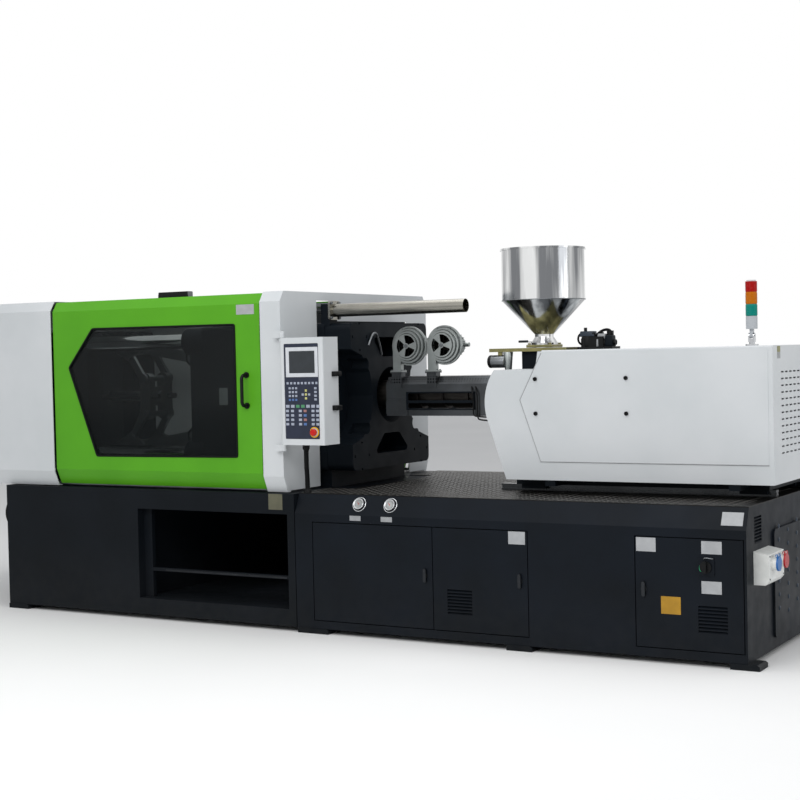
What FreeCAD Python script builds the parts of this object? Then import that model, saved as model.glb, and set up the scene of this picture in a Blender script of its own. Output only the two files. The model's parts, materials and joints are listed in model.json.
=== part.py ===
"""Injection moulding machine of the 270-tonne class, with a toggle clamp on the left.

Every size is in millimetres.  The machine is drawn from the corner of its base:
x runs right from the base's left end, y runs back from the front of the base and
z runs up from the floor.  The parts are written about the middle of the footprint.
"""
import FreeCAD, Part
import math
import os

V = FreeCAD.Vector

# ---- Clamp ---------------------------------------------------------------------
BASE_DEPTH = 1725
BASE_HEIGHT = 800
AXIS_RISE = 545              # machine axis above the top of the base
PLATEN_WIDTH = 930
PLATEN_HEIGHT = 890
TIE_BAR_SPACING = 714
TIE_BAR_RADIUS = 47.5
NUT_RADIUS = 86
TIE_BOSS_RADIUS = 86         # of the moving platen's bosses round the tie bars
NUT_LENGTH = 60
NUT_CAP = 12
SHAFT_FIT = 0.05             # radial running clearance of shafts and pins
SLIDE_GAP = 0.5              # gap between flat sliding faces
REAR_PLATEN_LEFT = 20
REAR_PLATEN_THICKNESS = 150
MOVING_PLATEN_THICKNESS = 470
MOULD_PLATE_THICKNESS = 290
MOULD_LENGTH = 530           # room between the platens, with the clamp closed
FIXED_PLATEN_THICKNESS = 280
FIXED_SLAB_THICKNESS = 100
FIXED_PLATEN_SEAT = 120      # length of the clamp base below the fixed platen
LOCATING_RADIUS = 80
LOCATING_DEPTH = 25
NOZZLE_HOLE_RADIUS = 60
NOZZLE_CONE_RADIUS = 172
MOULD_HOLE_RADIUS = 8        # tapping size of the M16 mould holes
MOULD_HOLE_DEPTH = 40
MOULD_HOLE_PITCH_Y = 420
MOULD_HOLE_PITCH_Z = 420

# ---- Toggle linkage ------------------------------------------------------------
REAR_PIN_REACH = 80          # rear pin beyond the rear platen
REAR_PIN_RISE = 385
PIN_SPAN = 810               # from the rear pins to the front pins, with the clamp closed
FRONT_PIN_RISE = 250
FRONT_PIN_REACH = 70         # front pin ahead of the moving platen
REAR_LINK_LENGTH = 330
REAR_LINK_OPEN_ANGLE = 112   # below the horizontal, with the clamp open
ARM_RADIUS = 230             # crosshead pin hole of the rear link
ARM_ANGLE = 18
CROSSHEAD_PIN_RISE = 120
CROSSHEAD_LINK_LENGTH = 190
LINK_PIN_RADIUS = 30
SMALL_PIN_RADIUS = 20
LINK_EYE_RADIUS = 48
SMALL_EYE_RADIUS = 34
CROSSHEAD_HALF_WIDTH = 118
CROSSHEAD_HALF_LENGTH = 44
PLATE_GAP = 2                # between neighbouring link plates
CROSSHEAD_LINK_THICKNESS = 25
INNER_PLATE_THICKNESS = 21
FRONT_LINK_THICKNESS = 35
OUTER_PLATE_THICKNESS = 21
GUIDE_ROD_RADIUS = 18
GUIDE_ROD_SPACING = 176
PISTON_ROD_RADIUS = 35
CLAMP_BORE_RADIUS = 80
CLAMP_CYLINDER_RADIUS = 108
CLAMP_CYLINDER_LENGTH = 490
PORT_INSET = 75              # of the oil ports from the cylinder's ends
PORT_SIDE = 40               # of the oil ports from the axis, to the front
PORT_DROP = 150              # of the oil ports below the axis
CYLINDER_FLANGE = 45
EJECTOR_ROD_RADIUS = 20

# ---- Base and deck -------------------------------------------------------------
BASE_JOINT_GAP = 5
BASE_CLEARANCE = 30          # underside of both bases above the floor
BAY_LENGTH = 1110            # open bay below the mould space
BAY_POST = 50
BAY_FLOOR = 100
BAY_HEIGHT = 550
BAY_BACK_WALL = 75
DROP_WIDTH = 740             # chute opening through the top of the clamp base
DROP_MARGIN = 40
DECK_THICKNESS = 4
APRON_HEIGHT = 110           # sloped band above the doors
APRON_SLOPE = 50
FOOT_DEPTH = 130
FOOT_STEP = 6
CLAMP_FOOT_LENGTH = 165
JOINT_FOOT_INSET = 7         # from the cabinet's left side
JOINT_FOOT_LENGTH = 206
MIDDLE_FOOT_INSET = 1345     # from the cabinet's left side
CABINET_FOOT_LENGTH = 150
END_FOOT_REACH = 60          # past the cabinet's right side

# ---- Guards --------------------------------------------------------------------
COVER_OVERHANG = 620         # clamp cover past the left end of the base
COVER_RIGHT = 420
GUARD_HEIGHT = 1175
GUARD_CHAMFER_DEPTH = 40
GUARD_TOP_CHAMFER = 60
GUARD_BOTTOM_CHAMFER = 93
GUARD_SKIN = 4
GUARD_LIFT = 5               # guards stand this far above the base
GUARD_LIP = 30
GATE_GAP = 10                # between the gates and the covers beside them
GATE_INSET = 12
GATE_DEPTH = 28
GATE_SKIN = 3
GATE_LIFT = 14
GATE_RIM = 25
END_GUARD_LENGTH = 143
END_GUARD_OVERLAP = 55       # end wall past the mould side of the fixed platen
PORTAL_GAP = 12.5            # between the fixed platen and the portal round it
PORTAL_BACK_GAP = 132.5
PORTAL_TOP = 50
PORTAL_NOTCH = 140           # notch of the portal that the safety bar passes through
WINDOW_PANE = 6
WINDOW_GROOVE = 10
WINDOW_RIM = 22
WINDOW_RADIUS = 28
WINDOW_LEFT = 128            # window corners from the gate's edges
WINDOW_RIGHT = 180
WINDOW_BOTTOM = 195
WINDOW_TOP = 183
WINDOW_POINT = 747
WINDOW_SHOULDER = 326
HANDLE_INSET = 100
HANDLE_RISE = 505
HANDLE_LENGTH = 180
HANDLE_REACH = 52
HANDLE_RADIUS = 10
HANDLE_BEND = 26
RAIL_STRIP = 30
LOCK_LEFT = 775
LOCK_LENGTH = 232
LOCK_RAMP = 35

# ---- Operator panel ------------------------------------------------------------
HINGE_REACH = 29
HINGE_Y = -30
HINGE_PIN_RADIUS = 8
HINGE_EYE_RADIUS = 15
HINGE_EYE_HEIGHT = 60
PANEL_GAP = 31               # from the hinge to the panel
PANEL_WIDTH = 290
PANEL_RISE = 290
PANEL_HEIGHT = 610
PANEL_FRONT = -100
PANEL_DEPTH = 170
PANEL_BORDER = 28
PANEL_CAP_DEPTH = 130
PANEL_CAP_RISES = (207, 400)
BUTTON_RADIUS = 20
BUTTON_STEM_RADIUS = 11
BUTTON_INSET = 62
BUTTON_RISE = 74

# ---- Safety bar ----------------------------------------------------------------
SAFETY_BAR_INSET = 52.5      # from the edge of the platens
SAFETY_BAR_RISE = 73         # above the platens
SAFETY_BAR_RADIUS = 20
SAFETY_TUBE_RADIUS = 39
SAFETY_TUBE_WALL = 3
SAFETY_TUBE_START = 132
SAFETY_TUBE_LENGTH = 898
SAFETY_FLANGE = 14
SAFETY_FOOT_THICKNESS = 40
SAFETY_FOOT_INSET = 70       # from the mould side of the moving platen
SAFETY_BAR_OVERHANG = 90     # of the bar past the mould side, to its back end
SAFETY_BAR_HOLD = 160        # from the bar's tip to the mouth of the tube
NOTCH_COUNT = 9
NOTCH_PITCH = 90

# ---- Injection unit ------------------------------------------------------------
NOZZLE_START = 60            # nozzle tip inside the fixed platen
NOZZLE_LENGTH = 110
NOZZLE_RADIUS = 24
BARREL_RADIUS = 75
BARREL_LENGTH = 1260
SCREW_RADIUS = 32.5
SCREW_ROOT_RADIUS = 23.5
HEATER_RADIUS = 88
HEATER_WIDTH = 120
HEATER_PITCH = 170
HEATER_COUNT = 6
HOUSING_OVERLAP = 200        # feed housing on the barrel
HOUSING_LENGTH = 185
HOUSING_WIDTH = 240
INJECTION_CYLINDER_RADIUS = 62
INJECTION_CYLINDER_SPACING = 380
INJECTION_CYLINDER_LENGTH = 455
PUSH_ROD_RADIUS = 25
RAM_GAP = 130
RAM_THICKNESS = 70
MOTOR_LENGTH = 330
RAIL_HEIGHT = 34
RAIL_WIDTH = 45
RAIL_SPACING = 520
RAIL_GROOVE = 8
COVER_NOSE_GAP = 40
COVER_LENGTH = 1640
COVER_WIDTH = 1025
COVER_LIFT = 79              # above the deck
COVER_RISE = 252             # above the machine's axis
COVER_SKIN = 4
COVER_NOTCH_RISE = 147
COVER_SHELF_DROP = 6          # shelf below the slide plate's end
COVER_SLOT_ROWS = 13
COVER_SLOT_COLUMNS = 10
COVER_SLOT_START = 152
COVER_SLOT_PITCH = 35
COVER_SLOT_SPACING = 73.5
COVER_SLOT_LENGTH = 48
COVER_SLOT_HEIGHT = 8
RAISED_PANEL = 3
GUARD_BOX_START = 62         # barrel guard behind the fixed platen
GUARD_BOX_GAP = 18
GUARD_BOX_WIDTH = 325
GUARD_BOX_DROP = 125
GUARD_BOX_SHOULDER_RISE = 65
GUARD_BOX_RISE = 110
GUARD_BOX_FLAT = 260
GUARD_BOX_SKIN = 3
GUARD_SLOTS = ((44, 76), (92, 136))

# ---- Blowers -------------------------------------------------------------------
BLOWER_START = 155           # first blower along the barrel guard
BLOWER_PITCH = 241
BLOWER_RISE = 186            # above the barrel guard
BLOWER_LEAD = 182.5          # front of the blowers ahead of the machine's axis
BLOWER_SKIN = 4
BLOWER_STEPS = ((0, 10, 72), (10, 24, 88), (24, 40, 104), (40, 54, 118))
BLOWER_DEPTH = 84
INLET_RADIUS = 64
INLET_HUB = 17
INLET_COUNT = 3
INLET_ANGLE = 78
INLET_TURN = 21
DUCT_WIDTH = 54
DUCT_OFFSET = 104
DUCT_START = 22
DUCT_DEPTH = 34
DUCT_STUB = 30
MOTOR_RADIUS = 66
BLOWER_MOTOR_LENGTH = 120
IMPELLER_RADIUS = 84
IMPELLER_BLADES = 8

# ---- Hopper --------------------------------------------------------------------
HOPPER_SEAT = 97             # hopper's axis from the front of the feed housing
HOPPER_RADIUS = 243
HOPPER_RIM = 6
HOPPER_WALL = 2
HOPPER_HEIGHT = 300
HOPPER_CONE = 200
HOPPER_NECK_RADIUS = 55
HOPPER_NECK_RISE = 78
HOPPER_COLLAR_RADIUS = 78
SLIDE_PLATE_START = 281
SLIDE_PLATE_LENGTH = 492
SLIDE_PLATE_WIDTH = 330
SLIDE_PLATE_RISE = 15        # top of the slide plate above the cover
SLIDE_PLATE_THICKNESS = 20
HOPPER_PAD = 160
HOPPER_PAD_THICKNESS = 18
FEED_HOLE_RADIUS = 30
SHUTTER_THICKNESS = 4
SHUTTER_RISE = 14

# ---- Signal tower --------------------------------------------------------------
TOWER_INSET = 152
TOWER_LEAD = 362.5
TOWER_RADIUS = 30
TOWER_KNUCKLE_RISE = 53
TOWER_HEIGHT = 288
TOWER_BASE_HEIGHT = 101
TOWER_LAMP_HEIGHT = 62.5

# ---- Cabinet doors and electrics -----------------------------------------------
DOOR_DEPTH = 20
DOOR_SETBACK = 24
DOOR_BOTTOM = 80
DOOR_TOP_MARGIN = 50
DOOR_GAP = 5
DOOR_START = 119
DOOR_WIDTHS = (783, 576, 604, 568)
CABINET_END = 15
DOOR_SKIN = 2.5
DOOR_RIM = 26
BAY_DEPTH = 560
BAY_INSET = 32
HINGE_INSET = 8
LATCH_INSET = 44
LATCH_RISE = 295
CAM_REACH = 32
POCKET_DEPTH = 16            # jamb pocket that the cam turns in
KEEPER_THICKNESS = 3         # bar across the pocket that holds the cam
SWITCH_INSET = 192
SWITCH_DROP = 138
VENT_WIDTH = 152
VENT_HEIGHT = 141
VENT_RISE = 85
GAUGE_START = 424
GAUGE_PITCH = 203
GAUGE_RISE = 60
GAUGE_RADIUS = 32
LOUVRE_COUNT = 8
SOCKET_Y = (175, 300)
SOCKET_HEIGHT = 512
SOCKET_RADIUS = 34
SOCKET_FACE = 104            # front of the sockets from the base's end
SOCKET_REACH = 120

# ---- Derived places ------------------------------------------------------------
AXIS_Y = BASE_DEPTH / 2
AXIS_Z = BASE_HEIGHT + AXIS_RISE
REAR_PIN_X = REAR_PLATEN_LEFT + REAR_PLATEN_THICKNESS + REAR_PIN_REACH
FRONT_PIN_X = REAR_PIN_X + PIN_SPAN
MOVING_PLATEN_LEFT = FRONT_PIN_X + FRONT_PIN_REACH
MOVING_PLATEN_RIGHT = MOVING_PLATEN_LEFT + MOVING_PLATEN_THICKNESS
FIXED_PLATEN_LEFT = MOVING_PLATEN_RIGHT + MOULD_LENGTH
FIXED_PLATEN_RIGHT = FIXED_PLATEN_LEFT + FIXED_PLATEN_THICKNESS
PORT_X = REAR_PLATEN_LEFT - CLAMP_CYLINDER_LENGTH + PORT_INSET
PORT_Y = AXIS_Y - PORT_SIDE
PORT_Z = AXIS_Z - PORT_DROP
TIE_OFFSET = TIE_BAR_SPACING / 2
TIE_BAR_LEFT = REAR_PLATEN_LEFT - NUT_LENGTH - 130
TIE_BAR_RIGHT = FIXED_PLATEN_RIGHT - NUT_CAP
PLATEN_BOTTOM = AXIS_Z - PLATEN_HEIGHT / 2
PLATEN_TOP = AXIS_Z + PLATEN_HEIGHT / 2
PLATEN_FRONT = AXIS_Y - PLATEN_WIDTH / 2
PLATEN_BACK = AXIS_Y + PLATEN_WIDTH / 2

CLAMP_BASE_LENGTH = FIXED_PLATEN_LEFT + FIXED_PLATEN_SEAT
CABINET_LEFT = CLAMP_BASE_LENGTH + BASE_JOINT_GAP
DOOR_EDGES = [CABINET_LEFT + DOOR_START + sum(DOOR_WIDTHS[:index]) for index in range(5)]
CABINET_RIGHT = DOOR_EDGES[-1] + CABINET_END
JOINT_FOOT_LEFT = CABINET_LEFT + JOINT_FOOT_INSET
MIDDLE_FOOT_LEFT = CABINET_LEFT + MIDDLE_FOOT_INSET
END_FOOT_RIGHT = CABINET_RIGHT + END_FOOT_REACH
BAY_RIGHT = CLAMP_BASE_LENGTH - BAY_POST
BAY_LEFT = BAY_RIGHT - BAY_LENGTH
BAY_BOTTOM = BASE_CLEARANCE + BAY_FLOOR
BAY_TOP = BAY_BOTTOM + BAY_HEIGHT
DROP_LEFT = MOVING_PLATEN_RIGHT + DROP_MARGIN
DROP_RIGHT = FIXED_PLATEN_LEFT - 30
DECK_TOP = BASE_HEIGHT + DECK_THICKNESS
APRON_FOOT = BASE_HEIGHT - APRON_HEIGHT
DOOR_TOP = APRON_FOOT - DOOR_TOP_MARGIN

END_GUARD_RIGHT = FIXED_PLATEN_LEFT + END_GUARD_OVERLAP
END_GUARD_LEFT = END_GUARD_RIGHT - END_GUARD_LENGTH
GATE_LEFT = COVER_RIGHT + GATE_GAP
GATE_RIGHT = END_GUARD_LEFT - GATE_GAP - 2
GUARD_BOTTOM = BASE_HEIGHT + GUARD_LIFT
GUARD_TOP = BASE_HEIGHT + GUARD_HEIGHT
WINDOW_CORNERS = (
    (GATE_LEFT + WINDOW_LEFT, GUARD_BOTTOM + WINDOW_POINT),
    (GATE_LEFT + WINDOW_SHOULDER, GUARD_TOP - WINDOW_TOP),
    (GATE_RIGHT - WINDOW_RIGHT, GUARD_TOP - WINDOW_TOP - 4),
    (GATE_RIGHT - WINDOW_RIGHT, GUARD_BOTTOM + WINDOW_BOTTOM + 8),
    (GATE_LEFT + WINDOW_SHOULDER + 12, GUARD_BOTTOM + WINDOW_BOTTOM),
)
HANDLE_X = GATE_RIGHT - HANDLE_INSET
HANDLE_BOTTOM = GUARD_BOTTOM + HANDLE_RISE
HANDLE_TOP = HANDLE_BOTTOM + HANDLE_LENGTH
HINGE_X = END_GUARD_RIGHT + HINGE_REACH
PANEL_LEFT = HINGE_X + PANEL_GAP
PANEL_RIGHT = PANEL_LEFT + PANEL_WIDTH
PANEL_BOTTOM = BASE_HEIGHT + PANEL_RISE
PANEL_TOP = PANEL_BOTTOM + PANEL_HEIGHT

SAFETY_BAR_Y = PLATEN_FRONT + SAFETY_BAR_INSET
SAFETY_BAR_HEIGHT = PLATEN_TOP + SAFETY_BAR_RISE
SAFETY_TUBE_LEFT = FIXED_PLATEN_LEFT + SAFETY_TUBE_START
SAFETY_TUBE_RIGHT = SAFETY_TUBE_LEFT + SAFETY_TUBE_LENGTH

NOZZLE_TIP = FIXED_PLATEN_LEFT + NOZZLE_START
BARREL_FRONT = NOZZLE_TIP + NOZZLE_LENGTH
BARREL_REAR = BARREL_FRONT + BARREL_LENGTH
THROAT_LEFT = BARREL_REAR - HOUSING_OVERLAP
THROAT_RIGHT = THROAT_LEFT + HOUSING_LENGTH
INJECTION_CYLINDER_RIGHT = THROAT_RIGHT + INJECTION_CYLINDER_LENGTH
RAM_LEFT = INJECTION_CYLINDER_RIGHT + RAM_GAP
RAM_RIGHT = RAM_LEFT + RAM_THICKNESS
COVER_NOSE = THROAT_LEFT - COVER_NOSE_GAP
COVER_END = COVER_NOSE + COVER_LENGTH
COVER_BOTTOM = DECK_TOP + COVER_LIFT
COVER_TOP = AXIS_Z + COVER_RISE
COVER_NOTCH_TOP = AXIS_Z + COVER_NOTCH_RISE
COVER_FRONT = AXIS_Y - COVER_WIDTH / 2
CARRIAGE_LEFT = THROAT_LEFT + 60
CARRIAGE_RIGHT = COVER_END - 80
RAIL_LEFT = CARRIAGE_LEFT - 120
RAIL_RIGHT = CABINET_RIGHT - 20
GUARD_BOX_LEFT = FIXED_PLATEN_RIGHT + GUARD_BOX_START
GUARD_BOX_RIGHT = THROAT_LEFT - GUARD_BOX_GAP
GUARD_BOX_BOTTOM = AXIS_Z - GUARD_BOX_DROP
GUARD_BOX_SHOULDER = AXIS_Z + GUARD_BOX_SHOULDER_RISE
GUARD_BOX_TOP = AXIS_Z + GUARD_BOX_RISE
BLOWER_X = (GUARD_BOX_LEFT + BLOWER_START, GUARD_BOX_LEFT + BLOWER_START + BLOWER_PITCH)
BLOWER_FRONT = AXIS_Y - BLOWER_LEAD
BLOWER_HEIGHT = GUARD_BOX_TOP + BLOWER_RISE
DUCT_FRONT = BLOWER_FRONT + DUCT_START
DUCT_BACK = DUCT_FRONT + DUCT_DEPTH
HOPPER_X = THROAT_LEFT + HOPPER_SEAT
SLIDE_PLATE_LEFT = HOPPER_X - SLIDE_PLATE_START
SLIDE_PLATE_RIGHT = SLIDE_PLATE_LEFT + SLIDE_PLATE_LENGTH
SLIDE_PLATE_TOP = COVER_TOP + SLIDE_PLATE_RISE
SLIDE_PLATE_BOTTOM = SLIDE_PLATE_TOP - SLIDE_PLATE_THICKNESS
SLIDE_PLATE_FRONT = AXIS_Y - SLIDE_PLATE_WIDTH / 2
HOPPER_NECK = SLIDE_PLATE_TOP + HOPPER_NECK_RISE
HOPPER_SHOULDER = HOPPER_NECK + HOPPER_CONE
HOPPER_TOP = HOPPER_SHOULDER + HOPPER_HEIGHT
TOWER_X = COVER_END - TOWER_INSET
TOWER_Y = AXIS_Y - TOWER_LEAD
TOWER_KNUCKLE = COVER_TOP + TOWER_KNUCKLE_RISE
TOWER_TOP = TOWER_KNUCKLE + TOWER_HEIGHT

LATCH_HEIGHT = DOOR_BOTTOM + LATCH_RISE
SWITCH_X = DOOR_EDGES[4] - SWITCH_INSET
SWITCH_HEIGHT = DOOR_TOP - SWITCH_DROP
GAUGE_X = (CABINET_LEFT + GAUGE_START, CABINET_LEFT + GAUGE_START + GAUGE_PITCH)
GAUGE_HEIGHT = APRON_FOOT + GAUGE_RISE
MIDDLE_X = (CABINET_RIGHT + SOCKET_REACH - COVER_OVERHANG) / 2
MIDDLE_Y = (BASE_DEPTH + HANDLE_REACH + PANEL_FRONT - 30) / 2


# ---- Drawing helpers -----------------------------------------------------------
def box(x0, x1, y0, y1, z0, z1):
    return Part.makeBox(x1 - x0, y1 - y0, z1 - z0, V(x0, y0, z0))


def rod_x(x0, x1, y, z, radius):
    return Part.makeCylinder(radius, x1 - x0, V(x0, y, z), V(1, 0, 0))


def rod_y(y0, y1, x, z, radius):
    return Part.makeCylinder(radius, y1 - y0, V(x, y0, z), V(0, 1, 0))


def rod_z(z0, z1, x, y, radius):
    return Part.makeCylinder(radius, z1 - z0, V(x, y, z0), V(0, 0, 1))


def cone_x(x0, x1, y, z, radius0, radius1):
    return Part.makeCone(radius0, radius1, x1 - x0, V(x0, y, z), V(1, 0, 0))


def prism_x(points, x0, x1):
    """Extrude an outline of (y, z) points along x."""
    corners = [V(x0, y, z) for y, z in points]
    return Part.Face(Part.makePolygon(corners + corners[:1])).extrude(V(x1 - x0, 0, 0))


def prism_y(points, y0, y1):
    """Extrude an outline of (x, z) points along y."""
    corners = [V(x, y0, z) for x, z in points]
    return Part.Face(Part.makePolygon(corners + corners[:1])).extrude(V(0, y1 - y0, 0))


def prism_z(points, z0, z1):
    """Extrude an outline of (x, y) points along z."""
    corners = [V(x, y, z0) for x, y in points]
    return Part.Face(Part.makePolygon(corners + corners[:1])).extrude(V(0, 0, z1 - z0))


def fuse(*shapes):
    """Join shapes that touch or overlap into one solid."""
    return shapes[0].multiFuse(list(shapes[1:])).removeSplitter()


def cut(shape, *tools):
    for tool in tools:
        shape = shape.cut(tool)
    return shape


def soften(shape, radius, direction, keep=lambda edge: True):
    """Round the straight edges that run along one direction."""
    edges = []
    for edge in shape.Edges:
        straight = isinstance(edge.Curve, Part.Line)
        if straight and abs(edge.Curve.Direction.dot(direction)) > 0.999 and keep(edge):
            edges.append(edge)
    return shape.makeFillet(radius, edges)


def mirror_y(shape):
    """The same shape on the other side of the machine's axis."""
    return shape.mirror(V(0, AXIS_Y, 0), V(0, 1, 0))


def mirror_z(shape):
    """The same shape below the machine's axis."""
    return shape.mirror(V(0, 0, AXIS_Z), V(0, 0, 1))


def bar_between(x0, z0, x1, z1, y0, y1, radius0, radius1):
    """A link plate: two round eyes joined by a tapering waist, in an x-z plane."""
    length = math.hypot(x1 - x0, z1 - z0)
    ux, uz = (x1 - x0) / length, (z1 - z0) / length
    waist0, waist1 = radius0 * 0.72, radius1 * 0.72
    outline = (
        (x0 - uz * waist0, z0 + ux * waist0),
        (x1 - uz * waist1, z1 + ux * waist1),
        (x1 + uz * waist1, z1 - ux * waist1),
        (x0 + uz * waist0, z0 - ux * waist0),
    )
    web = prism_y(outline, y0, y1)
    return fuse(web, rod_y(y0, y1, x0, z0, radius0), rod_y(y0, y1, x1, z1, radius1))


# ---- Toggle geometry -----------------------------------------------------------
def circle_reach(x, rise, length, other_rise):
    """The x at other_rise, to the right of (x, rise), at a given distance."""
    return x + math.sqrt(length ** 2 - (rise - other_rise) ** 2)


def toggle_pose(angle_down):
    """Knee, arm pin, crosshead x and front pin x for one angle of the rear link."""
    a = math.radians(angle_down)
    knee = (REAR_PIN_X + REAR_LINK_LENGTH * math.cos(a), REAR_PIN_RISE - REAR_LINK_LENGTH * math.sin(a))
    b = math.radians(angle_down + ARM_ANGLE)
    arm = (REAR_PIN_X + ARM_RADIUS * math.cos(b), REAR_PIN_RISE - ARM_RADIUS * math.sin(b))
    crosshead = circle_reach(arm[0], arm[1], CROSSHEAD_LINK_LENGTH, CROSSHEAD_PIN_RISE)
    front = circle_reach(knee[0], knee[1], FRONT_LINK_LENGTH, FRONT_PIN_RISE)
    return knee, arm, crosshead, front


CLOSED_ANGLE = math.degrees(math.atan2(REAR_PIN_RISE - FRONT_PIN_RISE, FRONT_PIN_X - REAR_PIN_X))
FRONT_LINK_LENGTH = math.hypot(REAR_PIN_RISE - FRONT_PIN_RISE, FRONT_PIN_X - REAR_PIN_X) - REAR_LINK_LENGTH
KNEE, ARM_PIN, CROSSHEAD_X, _ = toggle_pose(CLOSED_ANGLE)
_, _, CROSSHEAD_X_OPEN, FRONT_PIN_X_OPEN = toggle_pose(REAR_LINK_OPEN_ANGLE)
CLAMP_STROKE = FRONT_PIN_X - FRONT_PIN_X_OPEN
CROSSHEAD_STROKE = CROSSHEAD_X - CROSSHEAD_X_OPEN

# Where each row of link plates lies, as distances from the machine's middle plane.
CROSSHEAD_ROW = CROSSHEAD_HALF_WIDTH + PLATE_GAP
INNER_ROW = CROSSHEAD_ROW + CROSSHEAD_LINK_THICKNESS + PLATE_GAP
FRONT_ROW = INNER_ROW + INNER_PLATE_THICKNESS + PLATE_GAP
OUTER_ROW = FRONT_ROW + FRONT_LINK_THICKNESS + PLATE_GAP
OUTER_END = OUTER_ROW + OUTER_PLATE_THICKNESS


def both_sides(make, start, thickness):
    """A plate at the same distance on each side of the middle plane."""
    near = make(AXIS_Y - start - thickness, AXIS_Y - start)
    return [near, mirror_y(near)]


# ---- Base ----------------------------------------------------------------------
def clamp_base_frame():
    """Welded base below the clamp, with an open bay and a chute above it."""
    frame = box(0, CLAMP_BASE_LENGTH, 0, BASE_DEPTH, BASE_CLEARANCE, BASE_HEIGHT)
    bay = box(BAY_LEFT, BAY_RIGHT, -1, BASE_DEPTH - BAY_BACK_WALL, BAY_BOTTOM, BAY_TOP)
    half = DROP_WIDTH / 2
    drop = box(DROP_LEFT, DROP_RIGHT, AXIS_Y - half, AXIS_Y + half, BAY_TOP - 1, BASE_HEIGHT + 1)
    crossbar = box(BAY_LEFT, BAY_RIGHT, 60, 84, BAY_BOTTOM + 162, BAY_BOTTOM + 182)
    inner_post = box(BAY_LEFT, BAY_LEFT + 60, 60, 90, BAY_BOTTOM, BAY_TOP)
    return fuse(cut(frame, bay, drop), crossbar, inner_post)


def base_feet():
    """Levelling feet under both bases, alike at the front and the back."""
    spans = (
        (0, CLAMP_FOOT_LENGTH),
        (JOINT_FOOT_LEFT, JOINT_FOOT_LEFT + JOINT_FOOT_LENGTH),
        (MIDDLE_FOOT_LEFT, MIDDLE_FOOT_LEFT + CABINET_FOOT_LENGTH),
        (END_FOOT_RIGHT - CABINET_FOOT_LENGTH, END_FOOT_RIGHT),
    )
    feet = []
    for left, right in spans:
        side = (
            (left, 0), (right, 0), (right, BASE_CLEARANCE - 8), (right - 12, BASE_CLEARANCE),
            (left, BASE_CLEARANCE),
        )
        foot = prism_y(side, -FOOT_STEP, FOOT_DEPTH)
        feet += [foot, mirror_y(foot)]
    return Part.makeCompound(feet)


def door_span(index):
    return DOOR_EDGES[index] + DOOR_GAP / 2, DOOR_EDGES[index + 1] - DOOR_GAP / 2


DOOR_HINGE_SIDE = {0: "left", 1: "left", 3: "right"}


def door_hinge_x(index):
    left, right = door_span(index)
    return left + HINGE_INSET if DOOR_HINGE_SIDE[index] == "left" else right - HINGE_INSET


def latch_x(index):
    left, right = door_span(index)
    return right - LATCH_INSET if DOOR_HINGE_SIDE[index] == "left" else left + LATCH_INSET


def cabinet_profile():
    return (
        (0, BASE_CLEARANCE), (0, DOOR_BOTTOM - DOOR_GAP), (DOOR_SETBACK, DOOR_BOTTOM - DOOR_GAP),
        (DOOR_SETBACK, DOOR_TOP + DOOR_GAP), (0, DOOR_TOP + DOOR_GAP), (0, APRON_FOOT),
        (APRON_SLOPE, BASE_HEIGHT), (BASE_DEPTH, BASE_HEIGHT), (BASE_DEPTH, BASE_CLEARANCE),
    )


def injection_base_cabinet():
    """Cabinet base below the injection unit: bays behind the doors, posts and end panel."""
    body = prism_x(cabinet_profile(), CABINET_LEFT, CABINET_RIGHT)
    low, high = DOOR_BOTTOM - DOOR_GAP, DOOR_TOP + DOOR_GAP
    gap = DOOR_GAP / 2
    posts = [
        box(CABINET_LEFT, DOOR_EDGES[0] - gap, 0, DOOR_SETBACK, low, high),
        box(DOOR_EDGES[2] + gap, DOOR_EDGES[3] - gap, 0, DOOR_SETBACK, low, high),
        box(DOOR_EDGES[4] + gap, CABINET_RIGHT, 0, DOOR_SETBACK, low, high),
    ]
    end_panel = box(CABINET_RIGHT, CABINET_RIGHT + 12, 430, BASE_DEPTH - 60, DOOR_BOTTOM + 7, DOOR_TOP + 10)
    end_panel = soften(end_panel, 30, V(1, 0, 0))
    body = fuse(body, end_panel, *posts)
    for index in DOOR_HINGE_SIDE:
        left, right = door_span(index)
        inset = BAY_INSET
        bay = box(left + inset, right - inset, DOOR_SETBACK - 1, DOOR_SETBACK + BAY_DEPTH,
                  low + inset, high - inset)
        body = body.cut(soften(bay, 25, V(0, 1, 0)))
        x = latch_x(index)
        toward = 1 if DOOR_HINGE_SIDE[index] == "left" else -1
        pocket = sorted((x, x + toward * (CAM_REACH + 6)))
        keeper = sorted((x + toward * (CAM_REACH - 12), x + toward * (CAM_REACH - 4)))
        reach = CAM_REACH + 4
        foot, head = LATCH_HEIGHT - reach, LATCH_HEIGHT + reach
        body = body.cut(box(*pocket, DOOR_SETBACK - 1, DOOR_SETBACK + POCKET_DEPTH, foot, head))
        body = fuse(body, box(*keeper, DOOR_SETBACK, DOOR_SETBACK + KEEPER_THICKNESS, foot - 1, head + 1))
        hinge = door_hinge_x(index)
        body = fuse(
            body,
            rod_z(high - 22, high + 1, hinge, HINGE_INSET, 4),
            rod_z(low - 1, low + 22, hinge, HINGE_INSET, 4),
        )
    vent_low, vent_high = BASE_HEIGHT - 190, BASE_HEIGHT - 56
    deep = CABINET_RIGHT - 14
    body = body.cut(box(deep, CABINET_RIGHT + 1, 130, 250, vent_low, vent_high))
    for row in range(LOUVRE_COUNT):
        z = vent_low + row * (vent_high - vent_low) / LOUVRE_COUNT
        slat = ((deep, z), (CABINET_RIGHT, z + 2), (CABINET_RIGHT, z + 5), (deep, z + 12))
        body = fuse(body, prism_y(slat, 129, 251))
    return body


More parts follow.
